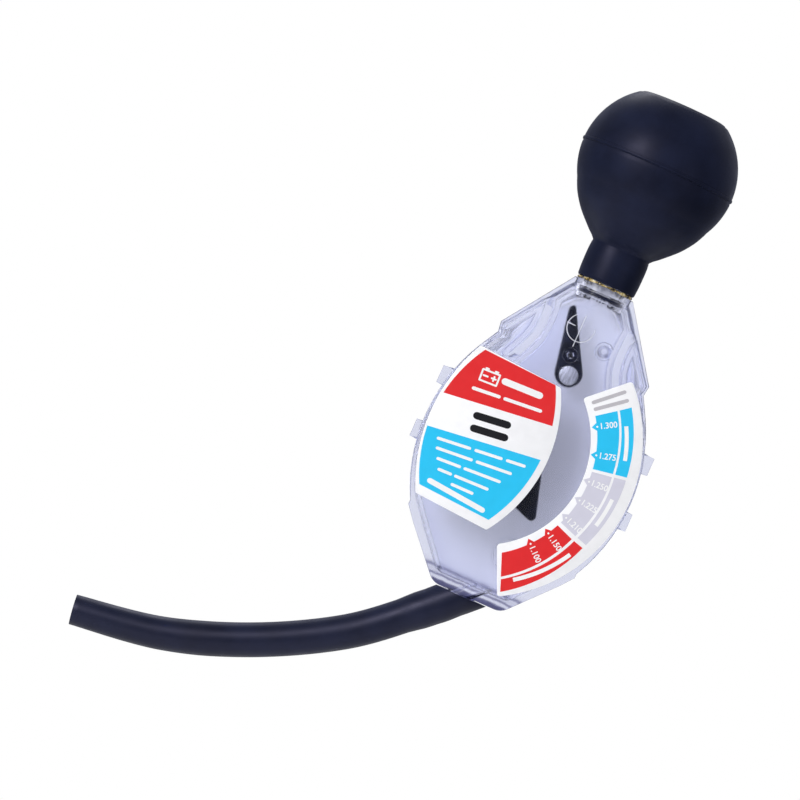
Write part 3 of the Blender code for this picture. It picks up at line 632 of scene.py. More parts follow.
def torus(ring, height):
    """A round ring about the neck's axis."""
    major, minor, steps, minor_steps = ring
    return added(
        bpy.ops.mesh.primitive_torus_add, major_radius=major, minor_radius=minor,
        major_segments=steps, minor_segments=minor_steps, location=(0, 0, height))


def fill(tree, node, inputs):
    """Sets a node's inputs to values, or links them to other nodes' outputs."""
    for name, value in inputs.items():
        if isinstance(value, bpy.types.NodeSocket):
            tree.links.new(value, node.inputs[name])
        else:
            node.inputs[name].default_value = value


def add_node(tree, kind, inputs, **settings):
    """Adds a node with its settings and its inputs."""
    node = tree.nodes.new("ShaderNode" + kind)
    configure(node, **settings)
    fill(tree, node, inputs)
    return node


def new_material(name):
    """A material with its node tree, its Principled shader and the object's coordinates."""
    material = bpy.data.materials.new(name)
    material.use_nodes = True
    tree = material.node_tree
    place = add_node(tree, "TexCoord", {}).outputs["Object"]
    return material, tree, tree.nodes["Principled BSDF"], place


def noise(tree, place, scale, detail, roughness=0.5, stretch=None):
    """A noise texture at a scale, stretched along the axes where asked."""
    if stretch:
        place = add_node(tree, "Mapping", {"Vector": place, "Scale": stretch}).outputs["Vector"]
    return add_node(tree, "TexNoise", {"Vector": place, "Scale": scale, "Detail": detail,
                                       "Roughness": roughness}).outputs["Fac"]


def spread(tree, value, low, high, start=0.3, end=0.7):
    """Maps a value between a start and an end to a range. The usual ones are those of a noise."""
    return add_node(tree, "MapRange", {"Value": value, "From Min": start, "From Max": end,
                                       "To Min": low, "To Max": high}).outputs["Result"]


def ramp(tree, value, stops):
    """A colour ramp from a list of places and colours."""
    node = tree.nodes.new("ShaderNodeValToRGB")
    elements = node.color_ramp.elements
    while len(elements) < len(stops):
        elements.new(0.5)
    for element, (place, colour) in zip(elements, stops):
        element.position = place
        element.color = (*colour, 1)
    tree.links.new(value, node.inputs["Fac"])
    return node.outputs["Color"]


def bump(tree, value, strength, distance):
    node = add_node(tree, "Bump", {"Height": value, "Strength": strength, "Distance": distance})
    return node.outputs["Normal"]


def shade_of(colour, factor):
    return tuple(min(1.0, part * factor) for part in colour)


def moulded_material(name, colour, cloud, shades, gloss, rough, grain, relief, others):
    """A material with a cloudy colour, an uneven gloss and a fine grain."""
    material, tree, surface, place = new_material(name)
    stops = [(stop, shade_of(colour, factor)) for stop, factor in shades]
    fill(tree, surface, {
        "Base Color": ramp(tree, noise(tree, place, *cloud), stops),
        "Roughness": spread(tree, noise(tree, place, *gloss), *rough),
        "Normal": bump(tree, noise(tree, place, *grain), *relief), **others})
    return material


def rubber_material(name, colour, rough, grain, shine=0.20, depth=0.22):
    """Semi-matte moulded rubber: a fine grain, soft cloudy wear and faint dust."""
    return moulded_material(
        name, colour, (70, 4), ((0.30, 0.75), (0.72, 1.5)), (160, 4), rough, (grain, 3, 0.6),
        (depth, 0.00005), {"Specular IOR Level": shine, "Specular Tint": (0.75, 0.72, 1.0, 1)})


def print_material(name, colour):
    """Printed vinyl: slightly uneven ink with a fine surface."""
    return moulded_material(
        name, colour, (300, 3), ((0.35, 0.965), (0.65, 1)), (500, 2), (0.34, 0.46), (900, 2),
        (0.08, 0.00003), {"Specular IOR Level": 0.3})


def pointer_material(name, colour):
    """Satin moulded plastic with faint swirls."""
    return moulded_material(
        name, colour, (260, 4, 0.6), ((0.35, 0.7), (0.70, 2.2)), (400, 3), (0.32, 0.46), (1200, 3),
        (0.15, 0.00004), {"Specular IOR Level": 0.12})


def metal_material(name, colour):
    """Dull metal with fine upright brushing."""
    material, tree, surface, place = new_material(name)
    lines = noise(tree, place, 500, 4, 0.7, (3.2, 1.0, 0.45))
    stops = ((0.38, shade_of(colour, 0.50)), (0.62, shade_of(colour, 1.2)))
    fill(tree, surface, {
        "Base Color": ramp(tree, lines, stops), "Metallic": 0.85,
        "Roughness": spread(tree, lines, 0.34, 0.52), "Normal": bump(tree, lines, 0.3, 0.00004)})
    return material


def glue_material(name, colour):
    """Dried glue: amber with pale and dark flecks, and a wet gloss."""
    material, tree, surface, place = new_material(name)
    flecks = noise(tree, place, 620, 5, 0.7)
    stops = ((0.44, (0.012, 0.010, 0.010)), (0.51, colour), (0.58, (0.72, 0.58, 0.26)),
             (0.66, (0.90, 0.87, 0.80)))
    fill(tree, surface, {
        "Base Color": ramp(tree, flecks, stops), "Roughness": 0.22, "Coat Weight": 0.5,
        "Normal": bump(tree, flecks, 0.5, 0.0002)})
    return material


def floor_material(name, colour):
    """A plain pale floor with a hardly visible mottle."""
    material, tree, surface, place = new_material(name)
    stops = ((0.2, shade_of(colour, 0.985)), (0.8, colour))
    fill(tree, surface, {"Base Color": ramp(tree, noise(tree, place, 12, 2), stops),
                         "Roughness": 0.7, "Specular IOR Level": 0.2})
    return material


def painted_label_shadow(tree, place, tint):
    """Paints shade into a tint towards the middle of the dial: a painted shadow of the labels on the
    back half.
    """
    around = add_node(tree, "Mapping", {
        "Vector": place, "Scale": [1 / reach for reach in MIDDLE_REACH],
        "Location": [-step / reach for step, reach in zip(MIDDLE, MIDDLE_REACH)]}).outputs["Vector"]
    away = add_node(tree, "VectorMath", {0: around}, operation="LENGTH").outputs["Value"]
    shade = ramp(tree, spread(tree, away, 0.0, 1.0, 0.0, 1.0), PAINTED_SHADOW_STOPS)
    both = add_node(tree, "Mix", {}, data_type="RGBA", blend_type="MULTIPLY")
    fill(tree, both, {"Factor": 1.0, "A": tint, "B": shade})
    return both.outputs["Result"]


def clear_material(name, colour, haze):
    """Clear moulded plastic that bends light, and lets the lamps reach what is inside. Its foot has
    painted refraction bands, and a hazy half gets a painted shadow towards the middle.
    """
    material, tree, surface, place = new_material(name)
    parts = add_node(tree, "SeparateXYZ", {"Vector": place}).outputs
    # painted refraction: dark and light bands in the tint near the case's foot, wavering with a noise
    uneven = add_node(tree, "Math", {0: noise(tree, place, 380, 2), 1: FOOT_WAVER, 2: parts["Z"]},
                      operation="MULTIPLY_ADD").outputs["Value"]
    height = spread(tree, uneven, 0.0, 1.0, CASE_FOOT, CASE_FOOT + FOOT_HEIGHT)
    tint = ramp(tree, height, [
        (share, (colour[0] * dim, colour[1] * dim, colour[2] * dim ** FOOT_BLUE))
        for share, dim in PAINTED_REFRACTION_BANDS])
    clear = 1.0
    if haze:
        # painted shadow of the labels: the back half's tint is darker towards the dial's middle
        tint = painted_label_shadow(tree, place, tint)
        clear = spread(tree, parts["Y"], 1.0, 1.0 - haze, FLANGE_STEP, HAZE_END)
    fill(tree, surface, {
        "Base Color": tint, "Transmission Weight": clear, "IOR": CLEAR_INDEX,
        "Roughness": spread(tree, noise(tree, place, 220, 3), *CLEAR_ROUGHNESS),
        "Normal": bump(tree, noise(tree, place, 55, 2), 0.03, 0.0004)})
    to_lamp = add_node(tree, "LightPath", {}).outputs["Is Shadow Ray"]
    film = add_node(tree, "BsdfTransparent", {"Color": (*colour, 1)})
    mix = add_node(tree, "MixShader", {
        "Fac": to_lamp, 1: surface.outputs["BSDF"], 2: film.outputs["BSDF"]})
    fill(tree, tree.nodes["Material Output"], {"Surface": mix.outputs["Shader"]})
    return material


def add_print(pieces, name, material, colour):
    """Joins plates into one printed piece that rides on the case."""
    return finish(joined(pieces), name, print_material(material, colour), "case")


def add_vinyl(outline, corner, name, material):
    """The bare label under its prints, with its corners rounded."""
    base = plate(outline, LABEL_FRONT, LABEL_BACK)
    round_corners(base, *corner)
    round_edges(base, LABEL_EDGE, 2, 60)
    smooth(base)
    return add_print([base], name, material, colours().label)


class HYDROMETER_OT_add_bulb(bpy.types.Operator):
    """Add the squeeze bulb with its neck, seam and hollow inside"""

    bl_idname = "hydrometer.add_bulb"
    bl_label = "Add squeeze bulb"

    def execute(self, context):
        radius = sizes().bulb_radius
        flat = math.sqrt(radius ** 2 - BULB_TOP ** 2)
        ceiling = BULB_TOP - BULB_WALL
        profile = [(0, BULB_TOP)] + self.from_place(BULB_RIM, flat, BULB_TOP)
        profile += self.ball_side(radius, BULB_TOP - BULB_RIM_DROP, SEAM_TOP, 26)
        profile += self.from_place(SEAM_CREST, radius + sizes().seam_height)
        profile += self.from_place(SEAM_GROOVE, radius)
        profile += self.ball_side(radius, SEAM_FOOT, BULB_BALL_END, 14)
        profile += [tuple(place) for place in smooth_line(BULB_CONE, 4)]
        profile += self.from_place(NECK_SIDE, sizes().neck_radius)
        profile += BULB_INNER
        profile += self.ball_side(radius - BULB_WALL, BULB_INNER_BALL, ceiling, 20)
        profile.append((BULB_INNER_POLE, ceiling))
        bulb = stacked(profile, 128)
        smooth(bulb, 40)
        material = rubber_material("bulb_rubber_finish", colours().rubber, (0.40, 0.52), 1400)
        finish(bulb, "bulb_and_neck", material, "case")
        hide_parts("squeeze_bulb")
        return {"FINISHED"}

    def from_place(self, steps, radius, height=0):
        """Radii and heights that are given as steps from a radius and a height."""
        return [(radius + out, height + rise) for out, rise in steps]

    def ball_side(self, radius, start, end, count):
        """Radii and heights along a ball's side between two heights."""
        first, last = math.asin(start / radius), math.asin(end / radius)
        angles = [between(first, last, step / count) for step in range(count + 1)]
        return [(radius * math.cos(angle), radius * math.sin(angle)) for angle in angles]


class HYDROMETER_OT_add_glue(bpy.types.Operator):
    """Add the ragged line of glue between the bulb's neck and the case's collar"""

    bl_idname = "hydrometer.add_glue"
    bl_label = "Add neck glue"

    def execute(self, context):
        bead = torus(GLUE_RING, GLUE_HEIGHT)
        edit_all()
        bpy.ops.transform.vertex_random(offset=GLUE_ROUGHNESS, normal=0.6, seed=7)
        bpy.ops.mesh.vertices_smooth(factor=0.5, repeat=2)
        bpy.ops.object.mode_set(mode="OBJECT")
        settle(bead)
        waves = bpy.data.textures.new("glue_waves", "CLOUDS")
        waves.noise_scale = GLUE_WAVE_SIZE
        modify(bead, "DISPLACE", texture=waves, strength=GLUE_WAVE_DEPTH, mid_level=0.5)
        smooth(bead, 80)
        finish(bead, "neck_glue", glue_material("dried_glue", colours().glue), "case")
        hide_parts("neck_adhesive_bead")
        return {"FINISHED"}


class HYDROMETER_OT_add_case(bpy.types.Operator):
    """Add the two clear halves with rounded moulded edges"""

    bl_idname = "hydrometer.add_case"
    bl_label = "Add clear case"

    def execute(self, context):
        for name, haze in (("front_shell", 0.0), ("back_shell", BACK_HAZE)):
            shell = self.merged_copy(frame["nodes"][name])
            self.round_between(shell, sizes().case_round, FLANGE_STEP, FACE_STEP)
            self.round_between(shell, sizes().case_round / 2, 0.0, FLANGE_STEP)
            self.split_faces(shell)
            smooth(shell)
            modify(shell, "WEIGHTED_NORMAL", mode="FACE_AREA", weight=100, keep_sharp=True)
            material = clear_material(name + "_plastic", colours().clear, haze)
            finish(shell, name + "_moulding", material, "case")
            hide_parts(name)
        return {"FINISHED"}

    def merged_copy(self, node):
        """A free copy of a CAD node with its triangles merged into whole faces."""
        only(node)
        bpy.ops.object.duplicate()
        shell = bpy.context.object
        bpy.ops.object.parent_clear(type="CLEAR_KEEP_TRANSFORM")
        del shell["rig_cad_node"]
        del shell["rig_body"]
        edit_all()
        bpy.ops.mesh.remove_doubles(threshold=1e-6)
        bpy.ops.mesh.dissolve_limited(angle_limit=math.radians(0.5))
        bpy.ops.object.mode_set(mode="OBJECT")
        return shell

    def split_faces(self, shell):
        """Splits the wide faces into triangles, so that each one shades flat."""
        only(shell)
        edit_all()
        bpy.ops.mesh.quads_convert_to_tris(quad_method="BEAUTY", ngon_method="BEAUTY")
        bpy.ops.mesh.normals_make_consistent(inside=False)
        bpy.ops.object.mode_set(mode="OBJECT")

    def has_room(self, place):
        """Tells whether an edge here stands clear of thin walls at the neck, ring and groove ends."""
        ring = math.hypot(place.x - INNER_RING_PLACE[0], place.z - INNER_RING_PLACE[1])
        groove_end = abs(place.x) > THIN_WALL_ASIDE and place.z > THIN_WALL_FOOT
        return place.z < NECK_ROOT and ring > INNER_RING_REACH and not groove_end

    def round_between(self, shell, width, low, high):
        """Rounds the sharp edges that lie between two depths from the seam."""
        def is_wanted(edge):
            depths = [abs(vert.co.y) for vert in edge.verts]
            around = [abs(vert.co.y) for face in edge.link_faces for vert in face.verts]
            return (edge.calc_face_angle(0) > math.radians(LEAST_ROUNDED_ANGLE)
                    and edge.calc_length() > SHORTEST_ROUNDED
                    and all(self.has_room(vert.co) for vert in edge.verts)
                    and low <= min(depths) and max(depths) <= high and max(around) <= FACE_STEP)

        bevel_where(shell, is_wanted, width, 4)


class HYDROMETER_OT_dress_inside(bpy.types.Operator):
    """Give the pins, the seal and the ballast their finishes"""

    bl_idname = "hydrometer.dress_inside"
    bl_label = "Dress the inner parts"

    def execute(self, context):
        metal = metal_material("drawn_metal", shade_of(colours().metal, INNER_METAL_SHADE))
        self.add_seal()
        for name in ("float_pivot_pin", "plumb_pivot_pin", "float_ballast"):
            for place in frame["nodes"][name].material_slots:
                place.material = metal
        return {"FINISHED"}

    def add_seal(self):
        """The flattened rubber ring in the throat."""
        low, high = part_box("neck_seal")
        middle = (low.z + high.z) / 2
        ring = torus(SEAL_RING, middle)
        edit_all()
        bpy.ops.transform.resize(value=(1, 1, SEAL_FLATNESS), center_override=(0, 0, middle))
        bpy.ops.object.mode_set(mode="OBJECT")
        smooth(ring, 60)
        rubber = shade_of(colours().rubber, SEAL_SHADE)
        finish(ring, "throat_seal", rubber_material("seal_rubber_finish", rubber, (0.5, 0.6), 1800),
               "case")
        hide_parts("neck_seal")


class HYDROMETER_OT_add_face_label(bpy.types.Operator):
    """Add the lens-shaped label over the float, with its printed bands and bars"""

    bl_idname = "hydrometer.add_face_label"
    bl_label = "Add face label"

    def execute(self, context):
        ink = sizes().ink_thickness
        outline = arc_through(*FACE_LABEL_LEFT, 40) + arc_through(*FACE_LABEL_RIGHT, 40)
        base = add_vinyl(outline, FACE_LABEL_CORNER, "face_label_vinyl", "label_white")
        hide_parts("face_label")
        front, back = LABEL_FRONT - ink, LABEL_FRONT + ink
        for name, upper, lower in (("red", RED_TOP, RED_FOOT), ("blue", BLUE_TOP, BLUE_FOOT)):
            band = plate(self.band(upper, lower), front, back)
            add_print([band], "face_label_" + name + "_band", name + "_print", getattr(colours(), name))
        top, under = front - ink, front + ink
        pale = self.bars(RED_TOP, RED_FOOT, RED_BARS, top, under)
        pale += self.battery(top, under)
        pale += self.bars(BLUE_TOP, BLUE_FOOT, BLUE_BARS, top, under)
        pale.append(plate(round_bar(*LOWEST_BAR), top, under))
        add_print(pale, "face_label_white_bars", "white_print", BAR_WHITE)
        dark = self.bars(RED_FOOT, BLUE_TOP, DARK_BARS, front, back)
        add_print(dark, "face_label_dark_bars", "dark_print", colours().dark)
        return {"FINISHED"}

    def band(self, upper, lower):
        """The outline of a printed band between two lines, up to the arcs at its sides."""
        outline = []
        for centre, radius, side, ends in ((*PRINT_RIGHT, 1, (upper, lower)),
                                           (*PRINT_LEFT, -1, (lower, upper))):
            start, end = (self.on_circle(centre, radius, *line, side) for line in ends)
            middle = centre + ((start + end) / 2 - centre).normalized() * radius
            outline += arc_through(start, middle, end, 16)
        return outline

    def on_circle(self, centre, radius, start, end, side):
        """Where the line through two places meets a circle, on its left (-1) or its right (1)."""
        start = Vector(start)
        along = (Vector(end) - start).normalized()
        foot = start + along * (centre - start).dot(along)
        return foot + along * (math.sqrt(radius ** 2 - (centre - foot).length_squared) * side)

    def battery(self, front, back):
        """A simple battery sign: a frame with two posts, a plus and a minus."""
        across, down = BATTERY_PLACE
        left, right = self.level(RED_TOP, RED_FOOT, down)
        along = (right - left).normalized()
        upward = Vector((-along.y, along.x))
        middle = left.lerp(right, across) + upward * BATTERY_RISE
        pieces = []
        for number, stroke in enumerate(BATTERY_STROKES):
            start, end = (middle + along * (x * MM) + upward * (z * MM) for x, z in stroke)
            outline = round_bar(start, end, BATTERY_LINE)
            pieces.append(plate(outline, front - LAYER_STEP * number, back))
        return pieces

    def bars(self, upper, lower, rows, front, back):
        """Plain bars between two lines, as the tables of bars say."""
        pieces = []
        for down, start, end, width in rows:
            left, right = self.level(upper, lower, down)
            outline = round_bar(left.lerp(right, start), left.lerp(right, end), width)
            pieces.append(plate(outline, front, back))
        return pieces

    def level(self, upper, lower, down):
        """The ends of the line at a share of the way from an upper line to a lower one."""
        return [Vector(high).lerp(Vector(low), down) for high, low in zip(upper, lower)]


class HYDROMETER_OT_add_scale(bpy.types.Operator):
    """Add the curved scale label with its coloured bands, markers and numbers"""

    bl_idname = "hydrometer.add_scale"
    bl_label = "Add scale label"

    def execute(self, context):
        ink = sizes().ink_thickness
        outline = arc(FLOAT_PIVOT, SCALE_INNER, *SCALE_INNER_SPAN, 56)
        outline += arc(FLOAT_PIVOT, SCALE_OUTER, *reversed(SCALE_OUTER_SPAN), 56)
        base = add_vinyl(outline, SCALE_CORNER, "scale_label_vinyl", "scale_white")
        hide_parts("scale_label")
        front, back = LABEL_FRONT - ink, LABEL_FRONT + ink
        for name in ("red", "grey", "blue"):
            pieces = [plate(self.block(*block[1:]), front, back)
                      for block in SCALE_BLOCKS if block[0] == name]
            pieces += [self.tab(angle, front, back)
                       for number, angle in SCALE_MARKS if self.block_at(angle)[0] == name]
            add_print(pieces, "scale_" + name + "_print", "scale_" + name, getattr(colours(), name))
        pieces = []
        for number, angle in SCALE_MARKS:
            inner = self.inner_radius(angle)
            pieces.append(self.number(number, angle, inner + NUMBER_GAP, front))
            dot = around_float(angle, inner + DOT_GAP)
            pieces.append(cylinder(dot, front - ink, front + ink, DOT_RADIUS, 16))
        for span, radius in SCALE_BARS:
            outline = ribbon(arc(FLOAT_PIVOT, radius, *span, 14), SCALE_BAR_WIDTH)
            pieces.append(plate(outline, front - ink, front + ink))
        add_print(pieces, "scale_numbers", "scale_number_white", NUMBER_WHITE)
        pieces = []
        for angle in HEADING_ANGLES:
            low, high = (around_float(angle, radius) for radius in HEADING_RADII)
            pieces.append(plate(round_bar(low, high, HEADING_WIDTH), front, back))
        add_print(pieces, "scale_heading_bars", "pale_grey_print", HEADING_GREY)
        return {"FINISHED"}

    def block_at(self, angle):
        """The first printed block at an angle, which carries the number there."""
        return next(block for block in SCALE_BLOCKS if block[1][0] < angle < block[1][1])

    def inner_radius(self, angle):
        """The radius of the printed block's inner edge at an angle."""
        (start, end), turn, first, last = self.block_at(angle)[1:]
        return between(first[0], last[0], (angle - start) / (end - start))

    def block(self, angles, turn, first, last):
        """The outline of a printed block whose radii change a little from its start to its end."""
        inner = []
        outer = []
        for step in range(BLOCK_STEPS + 1):
            share = step / BLOCK_STEPS
            angle = between(*angles, share)
            inner.append(around_float(angle, between(first[0], last[0], share)))
            outer.append(around_float(angle + between(*turn, share), between(first[1], last[1], share)))
        return inner + outer[::-1]

    def tab(self, angle, front, back):
        """The small pointed tab on a block's inner edge at a number."""
        inner = self.inner_radius(angle)
        outline = [around_float(angle + aside, inner + rise) for aside, rise in TAB_CORNERS]
        return plate(outline, front + 2 * LAYER_STEP, back)

    def number(self, words, angle, radius, front):
        """One number that reads outwards along its mark."""
        text = added(bpy.ops.object.text_add, location=(0, 0, 0))
        configure(text.data, body=words, size=sizes().number_height, align_x="LEFT", align_y="CENTER",
                  extrude=sizes().ink_thickness, offset=NUMBER_BOLDNESS, resolution_u=4)
        bpy.ops.object.convert(target="MESH")
        piece = bpy.context.object
        place = around_float(angle, radius)
        configure(piece, scale=(NUMBER_WIDTH, 1, 1), location=(place.x, front, place.y),
                  rotation_euler=(math.pi / 2, math.radians(90 - angle), 0))
        settle(piece)
        return piece


class HYDROMETER_OT_add_float(bpy.types.Operator):
    """Add the dark float with its pointed nose"""

    bl_idname = "hydrometer.add_float"
    bl_label = "Add float pointer"

    def execute(self, context):
        tip = around_float(FLOAT_TIP_ANGLE, FLOAT_REACH)
        outline = [FLOAT_PIVOT + Vector(place) for place in FLOAT_BACK]
        outline += arc(tip, FLOAT_TIP_RADIUS, *FLOAT_TIP_SPAN, 12)
        outline += arc(FLOAT_PIVOT, FLOAT_RADIUS, *FLOAT_SPAN, 60)
        piece = plate(outline, -FLOAT_HALF, FLOAT_HALF)
        round_corners(piece, *FLOAT_CORNER)
        cut(piece, cylinder(FLOAT_PIVOT, -FLOAT_THROUGH, FLOAT_THROUGH, PIN_HOLE, 32))
        pocket = FLOAT_PIVOT + Vector(FLOAT_POCKET_PLACE)
        cut(piece, cylinder(pocket, FLOAT_POCKET_FLOOR, FLOAT_THROUGH, FLOAT_POCKET_RADIUS, 48))
        round_edges(piece, sizes().edge_round, 3, 50)
        smooth(piece)
        finish(piece, "float_with_nose", pointer_material("float_plastic", colours().pointer),
               "float")
        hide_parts("float_pointer")
        return {"FINISHED"}


class HYDROMETER_OT_add_plumb(bpy.types.Operator):
    """Add the plumb pointer and the metal disc in its round end"""

    bl_idname = "hydrometer.add_plumb"
    bl_label = "Add plumb pointer"

    def execute(self, context):
        up = direction(180 - PLUMB_LEAN)
        slope = math.degrees(math.asin((PLUMB_HEAD - PLUMB_TIP_RADIUS) / (PLUMB_RISE + PLUMB_DROP)))
        side = 90 + slope
        outline = arc(PLUMB_PIVOT + up * PLUMB_RISE, PLUMB_TIP_RADIUS, side - PLUMB_LEAN,
                      360 - side - PLUMB_LEAN, 14)
        outline += arc(PLUMB_PIVOT - up * PLUMB_DROP, PLUMB_HEAD, -side - PLUMB_LEAN,
                       side - PLUMB_LEAN, 40)
        piece = plate(outline, -PLUMB_HALF, PLUMB_HALF)
        weight_place = PLUMB_PIVOT - up * PLUMB_WEIGHT_DROP
        weight_back = PLUMB_WEIGHT_THICKNESS - PLUMB_HALF
        cut(piece, cylinder(PLUMB_PIVOT, -PLUMB_THROUGH, PLUMB_THROUGH, PIN_HOLE, 24))
        cut(piece, cylinder(weight_place, -PLUMB_THROUGH, weight_back + POCKET_FLOOR_GAP,
                            PLUMB_WEIGHT_RADIUS + POCKET_GAP, 48))
        round_edges(piece, sizes().edge_round * PLUMB_EDGE_SHARE, 3, 50)
        smooth(piece)
        finish(piece, "plumb_teardrop", pointer_material("plumb_plastic", colours().pointer),
               "plumb")
        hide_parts("plumb_pointer")
        weight = cylinder(weight_place, -PLUMB_HALF, weight_back, PLUMB_WEIGHT_RADIUS, 64)
        round_edges(weight, DISC_EDGE, 2, 60)
        smooth(weight)
        finish(weight, "plumb_disc", metal_material("disc_metal", colours().metal),
               "plumb")
        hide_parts("plumb_weight")
        return {"FINISHED"}


class HYDROMETER_OT_add_marks(bpy.types.Operator):
    """Add the white lines over the plumb's chamber"""

    bl_idname = "hydrometer.add_marks"
    bl_label = "Add white marks"

    def execute(self, context):
        strokes = [(arc(MARK_CENTRE, MARK_RING, *MARK_RING_SPAN, 36), MARK_RING_RISE)]
        strokes += [([Vector(start), Vector(end)], rise) for start, end, rise in MARK_LINES]
        pieces = []
        for line, rise in strokes:
            top = CASE_FACE - rise
            pieces.append(plate(ribbon(line, MARK_WIDTH), top - MARK_PROUD, top + MARK_SUNK))
        add_print(pieces, "dial_white_marks", "mark_white", MARK_WHITE)
        return {"FINISHED"}


class HYDROMETER_OT_add_hose(bpy.types.Operator):
    """Add the curved suction hose with its wider sleeve and open end"""

    bl_idname = "hydrometer.add_hose"
    bl_label = "Add suction hose"

    def execute(self, context):
        line = even_line(smooth_line(HOSE_ROUTE, 24), HOSE_STEPS)
        back = (line[0] - line[1]).normalized()
        on = (line[-1] - line[-2]).normalized()
        radius = sizes().hose_radius
        outer = [line[0] + back * HOSE_ROOT] + line
        outer_radii = [HOSE_SLEEVE] + [self.outer_radius(radius, number) for number in range(len(line))]
        inner = [line[0] + back * (HOSE_ROOT + MM)] + line[:-1] + [line[-1] + on * MM]
        hose = self.tube(outer, outer_radii)
        cut(hose, self.tube(inner, [HOSE_BORE] * len(inner)))
        cut(hose, added(bpy.ops.mesh.primitive_cube_add, size=HOSE_TRIM,
                        location=(0, 0, CASE_FOOT + HOSE_TRIM / 2)))
        round_edges(hose, HOSE_EDGE, 2, 50)
        smooth(hose, 40)
        material = rubber_material("hose_rubber_finish", colours().rubber, (0.38, 0.50), 700, 0.38, 0.08)
        finish(hose, "curved_suction_hose", material, "case")
        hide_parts("suction_hose")
        return {"FINISHED"}

    def outer_radius(self, radius, number):
        """The hose's radius along its length: a swollen sleeve over the spigot, thinner at its end."""
        run = HOSE_LENGTH * number / HOSE_STEPS
        if run < HOSE_SLEEVE_RUN:
            return HOSE_SLEEVE + HOSE_WAVE_HEIGHT * math.sin(run * HOSE_WAVE_RATE)
        share = min(1.0, (run - HOSE_SLEEVE_RUN) / HOSE_SLEEVE_FADE)
        far = max(0.0, (run - HOSE_TAPER_START) / (HOSE_LENGTH - HOSE_TAPER_START))
        return between(HOSE_SLEEVE, radius, share) + (HOSE_END - radius) * far

    def tube(self, line, radii):
        """A round tube along a line in the dial's plane."""
        curve = bpy.data.curves.new("tube", "CURVE")
        configure(curve, dimensions="3D", bevel_depth=1.0, bevel_resolution=8, use_fill_caps=True)
        spline = curve.splines.new("POLY")
        spline.points.add(len(line) - 1)
        for point, place, wide in zip(spline.points, line, radii):
            configure(point, co=(place.x, 0, place.y, 1), radius=wide)
        guide = bpy.data.objects.new("tube", curve)
        bpy.context.scene.collection.objects.link(guide)
        only(guide)
        bpy.ops.object.convert(target="MESH")
        piece = bpy.context.object
        point_outwards(piece)
        return piece


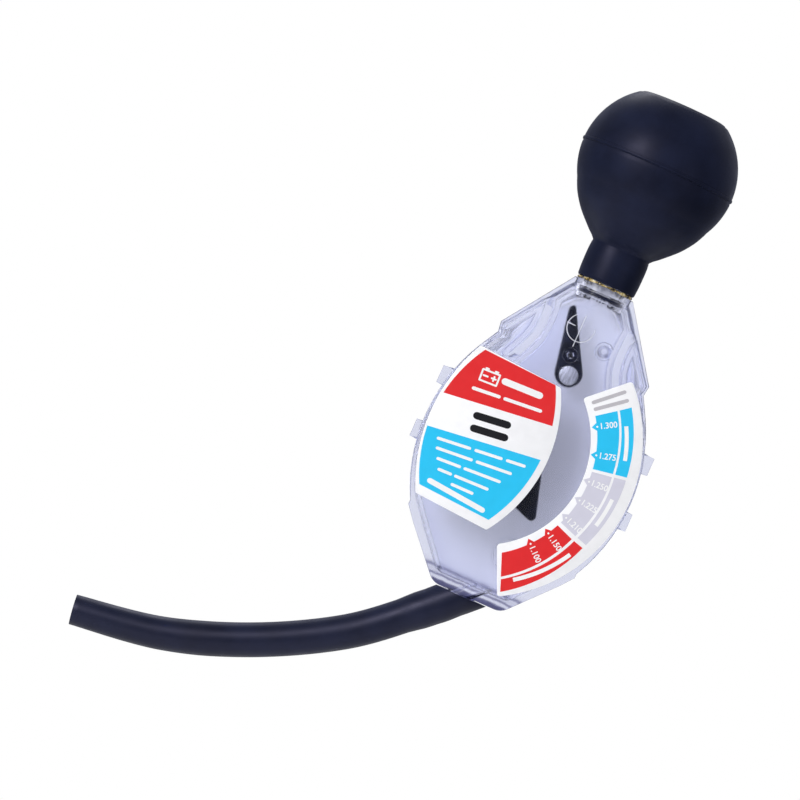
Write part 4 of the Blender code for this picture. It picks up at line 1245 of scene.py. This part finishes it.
class HYDROMETER_OT_add_stage(bpy.types.Operator):
    """Add the floor, the lamps, the white surroundings and the camera"""

    bl_idname = "hydrometer.add_stage"
    bl_label = "Add stage"

    def execute(self, context):
        floor = added(bpy.ops.mesh.primitive_circle_add, vertices=96, radius=FLOOR_RADIUS,
                      fill_type="NGON", location=FLOOR_PLACE)
        floor.name = "floor"
        settle(floor)
        floor.data.materials.append(floor_material("pale_floor", colours().floor))
        self.add_world(context.scene)
        for name, steps, size, power in LAMPS:
            place = steps[0] * PICTURE_RIGHT + steps[1] * PICTURE_UP + steps[2] * PICTURE_FRONT
            lamp = added(bpy.ops.object.light_add, type="AREA", location=place + CASE_MIDDLE)
            configure(lamp.data, shape="DISK", size=size, energy=power)
            configure(lamp, name=name, visible_transmission=False,
                      rotation_euler=(-place).to_track_quat("-Z", "Y").to_euler())
        camera = added(bpy.ops.object.camera_add, rotation=(math.pi / 2, math.radians(CAMERA_ROLL), 0),
                       location=CAMERA_TARGET + CAMERA_DISTANCE * PICTURE_FRONT)
        configure(camera.data, lens=CAMERA_LENS, sensor_width=CAMERA_SENSOR, clip_start=0.01)
        context.scene.camera = camera
        context.scene.view_settings.view_transform = "Standard"
        return {"FINISHED"}

    def add_world(self, scene):
        """White for the camera, shades behind clear plastic, a darker room in reflections."""
        world = bpy.data.worlds.new("studio")
        scene.world = world
        world.use_nodes = True
        tree = world.node_tree
        rays = add_node(tree, "LightPath", {}).outputs
        toward = add_node(tree, "TexCoord", {}).outputs["Generated"]
        parts = add_node(tree, "SeparateXYZ", {"Vector": toward}).outputs
        surface = tree.nodes["Background"]
        fill(tree, surface, {"Color": (0.97, 0.98, 1.0, 1),
                             "Strength": spread(tree, parts["Z"], 0.18, 0.62, -1.0, 1.0)})
        white = add_node(tree, "Background", {"Color": (1, 1, 1, 1), "Strength": 1.0})
        both = add_node(tree, "Math", {
            0: spread(tree, parts["Y"], 0.07, 0.55, -0.1, 0.95),
            1: spread(tree, parts["Z"], 0.34, 1.5, -0.5, 0.7)}, operation="MULTIPLY")
        mirrored = add_node(tree, "Background", {"Color": (0.78, 0.81, 1.0, 1),
                                                 "Strength": both.outputs["Value"]})
        shades = ramp(tree, spread(tree, parts["Y"], 0.0, 1.0, -1.0, 1.0), ROOM_THROUGH)
        through = add_node(tree, "Background", {"Color": shades, "Strength": 1.0})
        for ray, shader in (("Is Glossy Ray", mirrored), ("Is Transmission Ray", through),
                            ("Is Camera Ray", white)):
            surface = add_node(tree, "MixShader", {
                "Fac": rays[ray], 1: surface.outputs[0], 2: shader.outputs[0]})
        fill(tree, tree.nodes["World Output"], {"Surface": surface.outputs[0]})


OPERATORS = (
    HYDROMETER_OT_add_stage,
    HYDROMETER_OT_add_hose,
    HYDROMETER_OT_add_bulb,
    HYDROMETER_OT_add_glue,
    HYDROMETER_OT_add_case,
    HYDROMETER_OT_dress_inside,
    HYDROMETER_OT_add_face_label,
    HYDROMETER_OT_add_scale,
    HYDROMETER_OT_add_float,
    HYDROMETER_OT_add_plumb,
    HYDROMETER_OT_add_marks,
)


class HYDROMETER_PT_pieces(bpy.types.Panel):
    """Lists the hydrometer's sizes, colours and pieces"""

    bl_idname = "HYDROMETER_PT_pieces"
    bl_label = "Hydrometer"
    bl_space_type = "VIEW_3D"
    bl_region_type = "UI"
    bl_category = "Hydrometer"

    def draw(self, context):
        layout = self.layout
        for group in (context.scene.hydrometer_sizes, context.scene.hydrometer_colours):
            for name in group.__annotations__:
                layout.prop(group, name)
        for operator in OPERATORS:
            layout.operator(operator.bl_idname)


CLASSES = (HydrometerSizes, HydrometerColours, *OPERATORS, HYDROMETER_PT_pieces)


def register():
    for each in CLASSES:
        bpy.utils.register_class(each)
    bpy.types.Scene.hydrometer_sizes = bpy.props.PointerProperty(type=HydrometerSizes)
    bpy.types.Scene.hydrometer_colours = bpy.props.PointerProperty(type=HydrometerColours)


def unregister():
    del bpy.types.Scene.hydrometer_colours
    del bpy.types.Scene.hydrometer_sizes
    for each in reversed(CLASSES):
        bpy.utils.unregister_class(each)


def main():
    register()
    for operator in OPERATORS:
        getattr(bpy.ops.hydrometer, operator.bl_idname.split(".")[1])()


if __name__ == "__main__":
    main()
